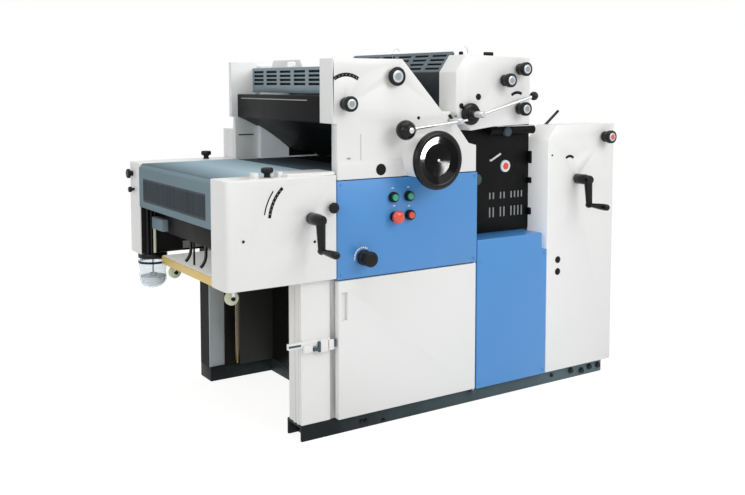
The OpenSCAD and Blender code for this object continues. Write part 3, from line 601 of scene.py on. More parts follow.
def box(bm, low, high):
    """Adds a plain block between two corners."""
    for vert in bmesh.ops.create_cube(bm, size=1)["verts"]:
        vert.co = mm(*(a + (c + 0.5) * (b - a) for a, b, c in zip(low, high, vert.co)))


def rounded_box(bm, low, high, radius, segments=2):
    """Adds a block whose edges are all rounded."""
    part = bmesh.new()
    box(part, low, high)
    bmesh.ops.bevel(part, geom=list(part.edges), offset=radius * MM, segments=segments, profile=0.5,
                    affect="EDGES")
    join(bm, part)


def join(bm, part):
    """Moves all of part into bm."""
    held = bpy.data.meshes.new("held")
    part.to_mesh(held)
    part.free()
    bm.from_mesh(held)
    bpy.data.meshes.remove(held)


def at(x, y, z, facing=FRONT):
    """The place of a shape, turned to its facing."""
    return Matrix.Translation(mm(x, y, z)) @ facing


def arc_points(centre, radius, start, sweep, count):
    """Points on an arc in the front face, angles in degrees, counter-clockwise for the operator."""
    cx, cy, cz = centre
    turns = [math.radians(start + sweep * i / (count - 1)) for i in range(count)]
    return [Vector((cx + radius * math.cos(a), cy, cz + radius * math.sin(a))) for a in turns]


def arc_band(bm, centre, radius, start, sweep, width, rise, count=24):
    """A flat band along an arc in the front face, standing out by rise, with round ends."""
    inner = arc_points(centre, radius - width / 2, start, sweep, count)
    outer = arc_points(centre, radius + width / 2, start, sweep, count)
    ends = []
    for angle, flip in ((start + sweep, 1), (start, -1)):
        mid = arc_points(centre, radius, angle, 0.01, 2)[0]
        side = 1 if sweep * flip > 0 else -1
        turns = [math.radians(angle) + side * math.pi * k / 6 for k in range(1, 6)]
        ends.append([mid + Vector((math.cos(a), 0, math.sin(a))) * width / 2 for a in turns])
    loop = outer + ends[0] + inner[::-1] + ends[1][::-1]
    face = bm.faces.new([bm.verts.new(mm(*point)) for point in loop])
    made = bmesh.ops.extrude_face_region(bm, geom=[face])
    for vert in [v for v in made["geom"] if isinstance(v, bmesh.types.BMVert)]:
        vert.co.y -= rise * MM


# Geometry node trees

def new_tree(name, inputs):
    """A geometry node tree with named inputs; returns its graph and the inputs' sockets by name."""
    tree = bpy.data.node_groups.new(name, "GeometryNodeTree")
    tree.interface.new_socket("Geometry", in_out="INPUT", socket_type="NodeSocketGeometry")
    for label, kind in inputs.items():
        tree.interface.new_socket(label, in_out="INPUT", socket_type="NodeSocket" + kind)
    tree.interface.new_socket("Geometry", in_out="OUTPUT", socket_type="NodeSocketGeometry")
    graph = Graph(tree)
    source = tree.nodes.new("NodeGroupInput")
    return graph, {s.name: Socket(graph, s) for s in source.outputs if s.name}


def spread(name, graph, given, shape, points, values, paint, turn=UP):
    """Sets a shape at each point, paints the copies and returns them as a plain mesh."""
    placed = graph.node("GeometryNodeInstanceOnPoints", None,
                        {"Points": given["Geometry"], "Instance": shape, "Rotation": turn.to_euler()})
    real = graph.node("GeometryNodeRealizeInstances", None, {"Geometry": placed})
    done = graph.node("GeometryNodeSetMaterial", None, {"Geometry": real, "Material": finish(paint)})
    graph.node("NodeGroupOutput", None, {"Geometry": done})
    start = bpy.data.meshes.new(name)
    start.from_pydata([mm(*point) for point in points], [], [])
    holder = bpy.data.objects.new(name, start)
    bpy.context.scene.collection.objects.link(holder)
    nodes = holder.modifiers.new("nodes", "NODES")
    nodes.node_group = graph.tree
    for item in graph.tree.interface.items_tree:
        if item.in_out == "INPUT" and item.name in values:
            nodes[item.identifier] = values[item.name]
    return evaluated_mesh(holder, name)


def screws(name, points, turn, paint, scale=1.0):
    """Screw heads on short six-sided necks at the given points, all facing one way."""
    graph, given = new_tree("screw_heads", {"Diameter": "Float", "Height": "Float"})
    wide, tall = given["Diameter"], given["Height"]
    head = graph.node("GeometryNodeMeshCone", {"fill_type": "NGON"},
                      {"Vertices": 14, "Radius Top": wide * 0.34, "Radius Bottom": wide * 0.5, "Depth": tall})
    neck = graph.node("GeometryNodeMeshCylinder", {"fill_type": "NGON"},
                      {"Vertices": 6, "Radius": wide * 0.2, "Depth": tall * 1.06})
    both = graph.node("GeometryNodeJoinGeometry", None, {"Geometry": [head, neck]})
    values = {"Diameter": size("screw_d") * scale * MM, "Height": size("screw_h") * scale * MM}
    return add_piece(name, spread(name, graph, given, both, points, values, paint, turn))


def perforated_sheet(name, node, paint):
    """A sheet of oblong holes in place of a node in the delivery end face, one tile for each hole."""
    low, high = span(node)
    sheet, wide, tall = [b - a for a, b in zip(low, high)]
    across = int(wide / size("hole_pitch") + 0.5)
    rows = int(tall / size("row_pitch") + 0.5)
    tile_w, tile_h = wide / across, tall / rows
    drill_depth = 10
    graph, given = new_tree("perforations",
                            {"Tile": "Vector", "Hole": "Vector", "End": "Vector", "Radius": "Float"})
    tile = graph.node("GeometryNodeMeshCube", None, {"Size": given["Tile"]})
    drills = [graph.node("GeometryNodeMeshCube", None, {"Size": given["Hole"]})]
    for turn in (0.0, math.pi):
        end = graph.node("GeometryNodeMeshCylinder", {"fill_type": "NGON"},
                         {"Vertices": 10, "Radius": given["Radius"], "Depth": drill_depth * MM})
        moved = graph.node("GeometryNodeTransform", None, {"Geometry": end, "Translation": given["End"]})
        drills.append(graph.node("GeometryNodeTransform", None,
                                 {"Geometry": moved, "Rotation": (0, 0, turn)}))
    cut = graph.node("GeometryNodeMeshBoolean", {"operation": "DIFFERENCE", "solver": "EXACT"},
                     {"Mesh 1": tile, "Mesh 2": drills})
    hole_w = size("hole_w")
    straight = size("hole_h") - hole_w
    points = [((low[0] + high[0]) / 2, low[1] + (i + 0.5) * tile_w, low[2] + (j + 0.5) * tile_h)
              for i in range(across) for j in range(rows)]
    values = {"Tile": mm(tile_h, tile_w, sheet), "Hole": mm(straight, hole_w, drill_depth),
              "End": mm(straight / 2, 0, 0), "Radius": hole_w / 2 * MM}
    mesh = spread(name, graph, given, cut, points, values, paint, DELIVERY)
    return add_piece(name, mesh, MACHINE, (node,))


# Pieces

def spun(name, profile, matrix, paint, body=MACHINE, replaces=(), crease=40, sides=64):
    """A piece made of one turned shape."""
    bm = bmesh.new()
    lathe(bm, profile, matrix, sides)
    return place(name, bm, paint, body, replaces, crease)


def turned(name, body, profile, paint, plane=FACE, replaces=(), sides=64):
    """A turned piece on a body's own axis, its heights measured out from a plane."""
    x, _, z = PIVOTS[body]
    return spun(name, profile, at(x, plane, z), paint, body, replaces, 50, sides)


class MACHINE_OT_covers(bpy.types.Operator):
    """Gives the white covers, front post, door and latch bar their rounded edges and enamel"""
    bl_idname = "machine.covers"
    bl_label = "White Covers"

    def execute(self, context):
        edge = size("cover_edge")
        for node in ("head_cover_front", "second_head_cover_front", "second_head_cover_rear",
                     "delivery_box_front", "delivery_box_rear", "feeder_box_front", "feeder_box_rear",
                     "rear_body_cover"):
            softened(node, white_enamel, edge)
        softened("head_cover_rear", white_enamel, size("sheet_edge"))
        softened("front_post", white_enamel, edge * 0.6)
        softened("lower_door", white_enamel, edge * 0.7, "lower_door")
        softened("latch_bar", white_enamel, edge * 0.5)
        return {"FINISHED"}


class MACHINE_OT_panels(bpy.types.Operator):
    """Gives the control panel and the column panel their edges and blue enamel"""
    bl_idname = "machine.panels"
    bl_label = "Blue Panels"

    def execute(self, context):
        for node in ("control_panel", "column_panel"):
            softened(node, blue_enamel, size("cover_edge") * 0.8)
        return {"FINISHED"}


class MACHINE_OT_frames(bpy.types.Operator):
    """Paints the base, the side frames, the feeder end and the parts inside"""
    bl_idname = "machine.frames"
    bl_label = "Frames"

    def execute(self, context):
        edge = size("cover_edge")
        sheet = size("sheet_edge")
        softened("base_frame", base_paint, edge)
        softened("rear_post", post_paint, edge * 0.6)
        for node in ("front_side_frame", "rear_side_frame"):
            softened(node, frame_paint, sheet * 1.5, segments=2)
        for node in ("body_end_panel", "pile_guides", "delivery_crossbar", "recess_panel_front",
                     "recess_panel_rear", "ink_guard"):
            softened(node, black_paint, sheet * 1.5, segments=2)
        for node in ("feed_table", "feeder_end_panel"):
            softened(node, guard_paint, sheet, segments=2)
        return {"FINISHED"}


class MACHINE_OT_hood(bpy.types.Operator):
    """Builds the delivery hood with its perforated end face, and the deck behind it"""
    bl_idname = "machine.hood"
    bl_label = "Delivery Hood"

    def execute(self, context):
        softened("delivery_hood", hood_paint, size("sheet_edge"))
        softened("deck_plate", guard_paint, size("sheet_edge"))
        perforated_sheet("hood_slots", "hood_grille", grille_paint)
        return {"FINISHED"}


class MACHINE_OT_guards(bpy.types.Operator):
    """Finishes the two slotted guards"""
    bl_idname = "machine.guards"
    bl_label = "Slotted Guards"

    def execute(self, context):
        for node, paint in (("vent_guard_first", tab_paint), ("vent_guard_second", deep_guard)):
            softened(node, paint, size("sheet_edge") * 0.8, segments=2)
        return {"FINISHED"}


class MACHINE_OT_pile(bpy.types.Operator):
    """Builds the pile board with its white top and yellow edge, and its castors"""
    bl_idname = "machine.pile"
    bl_label = "Pile Board"

    def execute(self, context):
        softened("pile_board", yellow_wood, 1.5, "pile_board", segments=2)
        low, high = span("pile_board")
        bm = bmesh.new()
        inset = 3
        wide = span("front_side_frame")[1][1] + 10
        rounded_box(bm, (low[0] + inset, wide, high[2]), (high[0] - inset, -wide, high[2] + 1.5), 0.5)
        place("board_top", bm, board_laminate, "pile_board")
        self.castors()
        return {"FINISHED"}

    def castors(self):
        """Four wheels on hubs, each between the two cheeks of a fork."""
        low, (far_x, far_y, top) = span("pile_castors")
        radius, half = 26, 13
        z = low[2] + radius
        tyre = [(0, -half), (20, -half), (24, -11), (radius, -6), (radius, 6), (24, 11), (20, half),
                (0, half)]
        hub = [(0, -21), (7, -21), (8, -19), (8, 19), (7, 21), (0, 21)]
        wheels, forks, hubs = bmesh.new(), bmesh.new(), bmesh.new()
        for x in (low[0] + radius, far_x - radius):
            for y in (low[1] + half + 6, far_y - half - 6):
                lathe(wheels, tyre, at(x, y, z), 40)
                lathe(hubs, hub, at(x, y, z), 20)
                for cheek in (y - 16, y + 16):
                    rounded_box(forks, (x - 7, cheek - 1.5, z - 8), (x + 7, cheek + 1.5, top), 0.8)
                rounded_box(forks, (x - 20, y - 19, top - 4), (x + 20, y + 19, top), 1.0)
        place("castor_wheels", wheels, cream_plastic, "pile_board", ("pile_castors",))
        place("castor_forks", forks, bright_steel, "pile_board")
        place("castor_hubs", hubs, dark_slot, "pile_board")


class MACHINE_OT_jar(bpy.types.Operator):
    """Builds the glass filter jar, its cap and its pipes"""
    bl_idname = "machine.jar"
    bl_label = "Filter Jar"

    def execute(self, context):
        low, high = span("filter_jar")
        x, y = (low[0] + high[0]) / 2, (low[1] + high[1]) / 2
        foot = at(x, y, low[2], UP)
        outer = [(0, 0), (20, 1), (36, 6), (47, 14), (54, 26), (57, 38), (58, 50), (58, 130)]
        inner = [(55, 130), (55, 50), (54, 39), (51, 28), (44, 17), (34, 9), (19, 4), (0, 3.5)]
        spun("jar_glass_body", outer + inner, foot, clear_glass, MACHINE, ("filter_jar",), 60)
        cap = self.cap(x, y, high[2])
        clip = [(58.4, 108), (61, 108), (61, 117), (58.4, 117), (58.4, 108)]
        lathe(cap, clip, foot, 64)
        place("jar_cap_and_pipes", cap, grip_plastic, MACHINE, ("jar_fittings",))
        pale = [(0, 4.5), (18, 5), (33, 10), (43, 18), (50, 29), (53, 40), (54, 50), (0, 50)]
        spun("jar_bowl", pale, foot, print_white, sides=48)
        stem = [(0, 50), (14, 50), (16, 54), (16, 62), (4, 64), (4, 130), (0, 130)]
        spun("jar_element", stem, foot, print_grey, sides=24)
        return {"FINISHED"}

    def cap(self, x, y, z):
        """The ribbed cap on the jar, and the three pipes above it."""
        bm = bmesh.new()
        lathe(bm, [(0, 0), (60, 0), (61, 2), (61, 16), (59, 19), (54, 20), (0, 20)], at(x, y, z, UP), 64)
        ribs = 48
        for i in range(ribs):
            turn = 2 * math.pi * i / ribs
            rib_x, rib_y = x + 60 * math.cos(turn), y + 60 * math.sin(turn)
            ring_path(bm, [(rib_x, rib_y, z + 3), (rib_x, rib_y, z + 14)], 1.1, 6)
        top = span("jar_fittings")[1][2]
        for across in (-34, -18, -2):
            ring_path(bm, [(x + across, y - 38, z + 20), (x + across, y - 38, top)], 7, 20)
        return bm


class MACHINE_OT_rollers(bpy.types.Operator):
    """Finishes the ink rollers, the ground print cylinders, the stop fingers and the feed rod"""
    bl_idname = "machine.rollers"
    bl_label = "Rollers"

    def execute(self, context):
        softened("ink_rollers", ink_rubber, 2, segments=2, corner=50)
        softened("print_cylinders", ground_steel, 2, segments=2, corner=50)
        softened("stop_fingers", black_plastic, 2)
        softened("feed_rod", black_plastic, 1, segments=2)
        return {"FINISHED"}


class MACHINE_OT_handwheel(bpy.types.Operator):
    """Builds the dished black handwheel with its rounded rim"""
    bl_idname = "machine.handwheel"
    bl_label = "Handwheel"

    def execute(self, context):
        turns = [math.radians(a) for a in range(-150, 91, 15)]
        rim = [(98 + 15 * math.cos(a), 27 + 15 * math.sin(a)) for a in turns]
        hub = [(0, 12), (32, 12), (38, 17), (42, 20), (80, 20)]
        lip = [(94, 41.5), (90, 40), (90, 24), (0, 24)]
        dish = [(0, 26), (61, 26), (90, 37), (90, 40), (89, 39.6), (63, 28.8), (62, 28.4), (60, 28.4),
                (58, 28.6), (10, 33), (0, 33)]
        screw = [(0, 32), (6, 32), (6, 35), (4, 37), (0, 37.4)]
        back = FACE - 70
        turned("handwheel_rim", "handwheel", hub + rim + lip, black_plastic, back,
               ("handwheel",), 96)
        turned("handwheel_dish", "handwheel", dish, spun_black, back, (), 96)
        turned("handwheel_screw", "handwheel", screw, bright_steel, back, (), 24)
        return {"FINISHED"}


class MACHINE_OT_cranks(bpy.types.Operator):
    """Builds the two hanging cranks with their flared grips"""
    bl_idname = "machine.cranks"
    bl_label = "Cranks"
    drop = 108

    def execute(self, context):
        hub = [(0, 5), (20, 5), (22, 7), (22, 60), (20, 70), (19, 84), (16, 89), (0, 90)]
        for node in ("delivery_crank", "feeder_crank"):
            x, _, z = PIVOTS[node]
            end = FACE - span(node)[0][1]
            grip = [(0, 68), (11, 68), (13, 72), (13.5, 80), (10, 92), (9, 98), (10.5, 112), (12.6, 135),
                    (14, 160), (14, end - 12), (12.6, end - 5), (9, end - 1), (4, end), (0, end)]
            bm = bmesh.new()
            lathe(bm, hub, at(x, FACE, z), 48)
            self.arm(bm, x, z)
            lathe(bm, grip, at(x, FACE, z - self.drop), 40)
            place(node + "_smooth", bm, black_plastic, node, (node,), 50)
        return {"FINISHED"}

    def arm(self, bm, x, z):
        """A tapered arm with round ends, from the hub down to the grip."""
        steps, cap_steps = 18, 6
        points, radii = [], []
        for i in range(-cap_steps, steps + cap_steps + 1):
            t = min(max(i / steps, 0), 1)
            over = max(-i, i - steps, 0) / cap_steps * math.pi / 2
            r = 18 - 4.6 * t
            beyond = math.sin(over) * r * (-1 if i < 0 else 1)
            points.append((x, FACE - 72 - 8 * t, z - self.drop * t - beyond))
            radii.append(max(r * math.cos(over), 0.4))
        ring_path(bm, points, 0, 24, radii)


class MACHINE_OT_levers(bpy.types.Operator):
    """Builds the print lever and the second head's lever: bright bars, black balls and hubs"""
    bl_idname = "machine.levers"
    bl_label = "Levers"

    def execute(self, context):
        self.lever("print_lever", 60, 258, 186, 76, 0, 36)
        self.lever("second_lever", 78, 284, 14.4, 36, 44, 0)
        return {"FINISHED"}

    def lever(self, body, reach, length, angle, ball, skirt, tail):
        """A post out from the cover and a bar with a ball; some have a skirt, some a tail."""
        x, _, z = PIVOTS[body]
        turn = math.radians(angle)
        along = Vector((math.cos(turn), 0, math.sin(turn)))
        start = Vector((x, FACE - reach, z))
        tip = start + along * length
        r = ball / 2
        ball_at = at(*tip, along.to_track_quat("Z", "Y").to_matrix().to_4x4())
        post = [(0, 5), (12, 5), (13, 7), (13, reach - 4), (12, reach - 2), (12, reach + 11),
                (10, reach + 14), (0, reach + 14)]
        collar = [(0, -r - 3), (r * 0.34, -r - 3), (r * 0.4, -r - 1), (r * 0.4, -r * 0.8), (0, -r * 0.8)]
        steel = bmesh.new()
        lathe(steel, post, at(x, FACE, z), 40)
        ring_path(steel, [start - along * tail, tip], 0, 24, (5, 7.5))
        lathe(steel, collar, ball_at, 32)
        if ball > 50:
            lathe(steel, [(0, r - 2), (11, r - 2), (11, r + 1), (9, r + 2.4), (0, r + 2.6)], at(*tip), 32)
        place(body + "_steel", steel, bright_steel, body, (body,))
        arc = [math.radians(a) for a in range(-84, 85, 6)]
        sphere = [(0, -r)] + [(r * math.cos(a), r * math.sin(a)) for a in arc] + [(0, r)]
        black = bmesh.new()
        lathe(black, sphere, ball_at, 48)
        if skirt:
            rings = [(0, 5), (skirt - 2, 5), (skirt, 7), (skirt, 17), (skirt - 2, 20), (skirt - 8, 22),
                     (skirt - 18, 23), (skirt - 20, 28), (0, 29)]
            lathe(black, rings, at(x, FACE, z), 56)
        place(body + "_black", black, black_plastic, body, (), 50)


class MACHINE_OT_knobs(bpy.types.Operator):
    """Builds the flared adjusting knobs with pale caps, the speed knob and the clamp knobs"""
    bl_idname = "machine.knobs"
    bl_label = "Knobs"

    def execute(self, context):
        for node in ("upper_ink_knob", "lower_ink_knob", "second_left_knob", "second_upper_knob",
                     "second_lower_knob"):
            self.knob(node, print_grey, "bare_metal")
        self.knob("feeder_knob", red_plastic, "button_red")
        dial = [(0, 5), (28, 5), (29, 6), (29, 16), (27, 18), (21, 23), (21, 37), (27, 40), (29, 42),
                (29, 58), (27, 62), (23, 63), (0, 63)]
        turned("speed_knob_body", "speed_knob", dial, grip_plastic, FACE, ("speed_knob",))
        self.clamps()
        return {"FINISHED"}

    def knob(self, node, hub_paint, hub_slot):
        """A flared knob as wide and deep as its node, with a cap and a small hub let into its front."""
        low, high = span(node)
        r = (high[0] - low[0]) / 2
        out = FACE - low[1]
        flare = out * 0.6
        rim = r * 0.64
        body = [(0, 5), (r - 6, 5), (r - 4.5, 6.5), (r - 5, flare - 6), (r - 2, flare), (r, flare + 3),
                (r, out - 4), (r - 0.6, out - 1.6), (r - 2, out - 0.3), (r - 4, out), (0, out)]
        cap = [(0, out - 0.4), (rim, out - 0.4), (rim, out + 0.4), (rim - 1.5, out + 1.4),
               (rim * 0.5, out + 1.7), (0, out + 1.8)]
        hub = [(0, out + 1.2), (rim * 0.62, out + 1.2), (rim * 0.6, out + 2.1), (0, out + 2.3)]
        turned(node + "_body", node, body, grip_plastic, FACE, (node,))
        turned(node + "_cap", node, cap, cap_metal)
        turned(node + "_hub", node, hub, hub_paint)

    def clamps(self):
        """Round clamp knobs on the delivery boxes: two on top, two on the rear box's end, one in front."""
        end = span("delivery_hood")[0][0]
        bm = bmesh.new()
        for spot, facing, r, h in (((-757, -440, 982), UP, 22, 34), ((-614, 440, 982), UP, 22, 34),
                                   ((end, 453, 933), DELIVERY, 20, 24), ((end, 434, 867), DELIVERY, 12, 24),
                                   ((-527, -500, 864), FRONT, 20, 24)):
            profile = [(0, 0), (r * 0.55, 0), (r * 0.5, h * 0.3), (r * 0.62, h * 0.42), (r * 0.95, h * 0.5),
                       (r, h * 0.58), (r, h * 0.86), (r * 0.93, h * 0.96), (r * 0.8, h), (0, h)]
            lathe(bm, profile, at(*spot, facing), 48)
        place("clamp_knob_bodies", bm, grip_plastic, MACHINE, ("clamp_knobs",), 50)


class MACHINE_OT_buttons(bpy.types.Operator):
    """Builds the push buttons with black bezels, and the mushroom stop button"""
    bl_idname = "machine.buttons"
    bl_label = "Push Buttons"

    def execute(self, context):
        bezels, green, red = bmesh.new(), bmesh.new(), bmesh.new()
        bezel = [(0, 0), (19, 0), (20, 1.5), (20, 14), (18.5, 17.5), (16, 18), (14, 17), (14, 12), (0, 12)]
        lens = [(0, 12), (13, 12), (13, 21), (12, 23), (8, 24), (0, 24.2)]
        collar = [(0, 0), (20, 0), (20, 12), (16, 14), (14, 16), (14, 26), (0, 26)]
        dome = [(0, 20), (14, 20), (22, 22), (25.5, 26), (26, 31), (24, 36), (20, 40), (13, 43), (6, 44),
                (0, 44.2)]
        for x, z, ring, colour, cap, sides in ((-258, 884, bezel, green, lens, 40),
                                               (-186, 884, bezel, green, lens, 40),
                                               (-182, 811, bezel, red, lens, 40),
                                               (-251, 809, collar, red, dome, 48)):
            lathe(bezels, ring, at(x, FACE, z), 40)
            lathe(colour, cap, at(x, FACE, z), sides)
        place("button_bezels", bezels, grip_plastic)
        place("green_lenses", green, green_plastic, MACHINE, ("start_buttons",))
        place("red_caps", red, red_plastic, MACHINE, ("stop_buttons",))
        return {"FINISHED"}


# Fittings

# Curved slots in the covers: centre x and z, radius, start and sweep in degrees, width
ARC_SLOTS = (
    (-614, 827, 165, 133, 41, 12), (-614, 827, 186, 143, 28, 5), (-463, 1254, 92, 56, 68, 14),
    (366, 1228, 48, 60, 70, 12), (673, 965, 34, 48, 84, 11),
)
# Black plugs and holes in the front covers: x, z, diameter and how far out the face is
PLUGS = (
    (-314, 992, 44, 4), (-138, 1182, 13, 0), (158, 1260, 26, 0), (71, 1225, 22, 0), (-561, 775, 9, 0),
    (609, 552, 30, 0), (609, 500, 30, 0), (568, 1007, 8, 0), (-598, 745, 10, 0),
)


class MACHINE_OT_slots(bpy.types.Operator):
    """Lines the curved slots in black as painted shade, marks the long ones and adds the plugs in the covers
    """
    bl_idname = "machine.slots"
    bl_label = "Slots and Plugs"

    def execute(self, context):
        dark, marks = bmesh.new(), bmesh.new()
        for x, z, radius, start, sweep, width in ARC_SLOTS:
            # A black band just inside each slot: painted shade in the hollow behind it
            arc_band(dark, (x, FACE + 1.4, z), radius, start + 1, sweep - 2, width - 0.6, 0.6)
            if width > 8 and radius > 60:
                for spot in arc_points((x, FACE + 0.6, z), radius, start + 5, sweep - 10, 7):
                    lathe(marks, [(0, 0), (1.3, 0), (1.3, 0.5), (0, 0.6)], at(*spot), 10)
        for x, z, diameter, rise in PLUGS:
            r = diameter / 2
            lathe(dark, [(0, 0), (r, 0), (r, 1.2), (r * 0.8, 2.2), (0, 2.6)], at(x, FACE - rise, z), 28)
        place("slot_linings", dark, dark_slot)
        place("slot_marks", marks, print_white)
        return {"FINISHED"}


class MACHINE_OT_dials(bpy.types.Operator):
    """Adds the scale behind the speed knob and the blank tags above the buttons"""
    bl_idname = "machine.dials"
    bl_label = "Scale and Tags"

    def execute(self, context):
        white, black = bmesh.new(), bmesh.new()
        x, _, z = PIVOTS["speed_knob"]
        arc_band(white, (x, FACE, z), 37, 60, 130, 6, 0.6, 48)
        for spot in arc_points((x, FACE - 0.6, z), 38, 66, 118, 9):
            out = (spot - Vector((x, spot.y, z))).normalized()
            ring_path(black, [spot - out * 2, spot + out * 2], 0.9, 6)
        for tag_x, tag_z in ((-258, 918), (-186, 918), (-251, 850), (-182, 845)):
            box(white, (tag_x - 5, FACE - 0.6, tag_z - 2), (tag_x + 5, FACE, tag_z + 2))
        place("scale_and_tags", white, print_white)
        place("scale_ticks", black, dark_slot)
        return {"FINISHED"}


class MACHINE_OT_recess(bpy.types.Operator):
    """Fits the recess beside the feeder box: bars, a thin rod, a small lever, discs and pale slots"""
    bl_idname = "machine.recess"
    bl_label = "Recess Fittings"

    def execute(self, context):
        face = span("recess_panel_front")[0][1]
        self.bars(face)
        self.slots(face)
        steel, pale, red, discs = bmesh.new(), bmesh.new(), bmesh.new(), bmesh.new()
        ring_path(steel, [(330, face - 40, 1133), (546, face - 40, 1133)], 2, 10)
        ring_path(pale, [(326, face - 1, 987), (330, face - 6, 989), (380, face - 6, 1014)], 4.5, 14)
        lathe(pale, [(0, 0), (26, 0), (26, 5), (24, 7), (0, 7)], at(410, face, 960), 36)
        lathe(red, [(0, 6.5), (15, 6.5), (15, 8), (0, 8.4)], at(410, face, 960), 32)
        lathe(discs, [(0, 0), (18, 0), (20, 4), (20, 16), (18, 19), (0, 20)], at(385, face - 32, 1110), 40)
        lathe(discs, [(0, 0), (22, 0), (24, 3), (24, 10), (22, 12), (0, 12)], at(250, face, 911), 40)
        place("recess_steel", steel, bright_steel)
        place("recess_pale", pale, print_white)
        place("recess_red", red, red_plastic)
        place("recess_knob", discs, guard_paint)
        return {"FINISHED"}

    def bars(self, face):
        """A black bar along the recess, and black blocks on the feeder box's wall."""
        black = bmesh.new()
        ring_path(black, [(300, face - 24, 1116), (546, face - 24, 1116)], 19, 32)
        for low, high in ((742, 772), (880, 905), (967, 1020)):
            rounded_box(black, (536, face - 22, low), (546.5, face, high), 2)
        place("recess_black", black, black_paint)

    def slots(self, face):
        """Two rows of pale slots, set just inside the panel's face."""
        grey = bmesh.new()
        for z, height in ((742, 44), (820, 30)):
            for i in (0, 1, 3, 4, 6, 7, 8, 9):
                left = 326 + i * 20
                box(grey, (left + 1, face + 2.2, z + 1), (left + 8, face + 3, z + height - 1))
        place("recess_slots", grey, print_grey)


class MACHINE_OT_latch(bpy.types.Operator):
    """Builds the door latch on the front post: a slot in the bar, clips, hook and catch"""
    bl_idname = "machine.latch"
    bl_label = "Door Latch"

    def execute(self, context):
        face = span("latch_bar")[0][1]
        clips = ((-640, -604, 338, 366, 9), (-570, -538, 330, 378, 8), (-534, -510, 334, 372, 7))
        hooks = ((-601, -573, 340, 352, 10), (-579, -571, 334, 372, 11), (-513, -504, 343, 372, 9))
        pale, dark = bmesh.new(), bmesh.new()
        rounded_box(dark, (-698, face - 0.8, 363), (-648, face + 1, 371), 0.3)
        for bm, blocks, radius in ((pale, clips, 1.5), (dark, hooks, 1.2)):
            for x0, x1, z0, z1, out in blocks:
                rounded_box(bm, (x0, face - out, z0), (x1, face, z1), radius)
        place("latch_clips", pale, white_enamel)
        place("latch_hook", dark, guard_paint)
        return {"FINISHED"}


class MACHINE_OT_trims(bpy.types.Operator):
    """Adds the small trims: post ribs, blocks by the clamp knob, tube, valve block and head fittings"""
    bl_idname = "machine.trims"
    bl_label = "Small Trims"

    def execute(self, context):
        valve, tube = bmesh.new(), bmesh.new()
        rounded_box(valve, (-902, 226, 708), (-872, 345, 758), 5)
        place("valve_block", valve, hood_paint)
        self.white_trims()
        self.head_trims()
        ring_path(tube, [(-889, 346, z) for z in (604, 640, 707)], 6, 16)
        place("feed_tube", tube, cream_plastic)
        return {"FINISHED"}

    def white_trims(self):
        """Ribs down the front post, blocks beside a clamp knob and the end plate of the rear cover."""
        white = bmesh.new()
        low, high = span("front_post")
        for y in (-446, -420):
            rounded_box(white, (low[0] - 4, y - 5, low[2]), (low[0] + 1, y + 5, high[2]), 1.5)
        for x in (-808, -712):
            rounded_box(white, (x - 9, -458, 981), (x + 9, -422, 1001), 2.5)
        rounded_box(white, (-503, 392, 961.5), (-500.5, 460, 1106), 0.5, 1)
        place("white_trims", white, white_enamel)

    def head_trims(self):
        """Thin strips and a tilted oblong on the head covers."""
        grey, dark, oblong = bmesh.new(), bmesh.new(), bmesh.new()
        rounded_box(grey, (-402, -500.8, 1030), (-400, -499, 1128), 0.4, 1)
        rounded_box(grey, (-462, -502, 1036), (-446, -499, 1042), 0.8, 1)
        rounded_box(oblong, (-15, -3, -7), (15, 1, 7), 2)
        oblong.transform(at(19, FACE, 1180, Matrix.Rotation(math.radians(50), 4, "Y")))
        join(dark, oblong)
        rounded_box(dark, (38, -501, 1183), (50, -499, 1187), 0.5, 1)
        rounded_box(dark, (-503, 338.6, 1086), (-430, 340.5, 1091), 0.4, 1)
        place("grey_trims", grey, print_grey)
        place("dark_trims", dark, dark_slot)


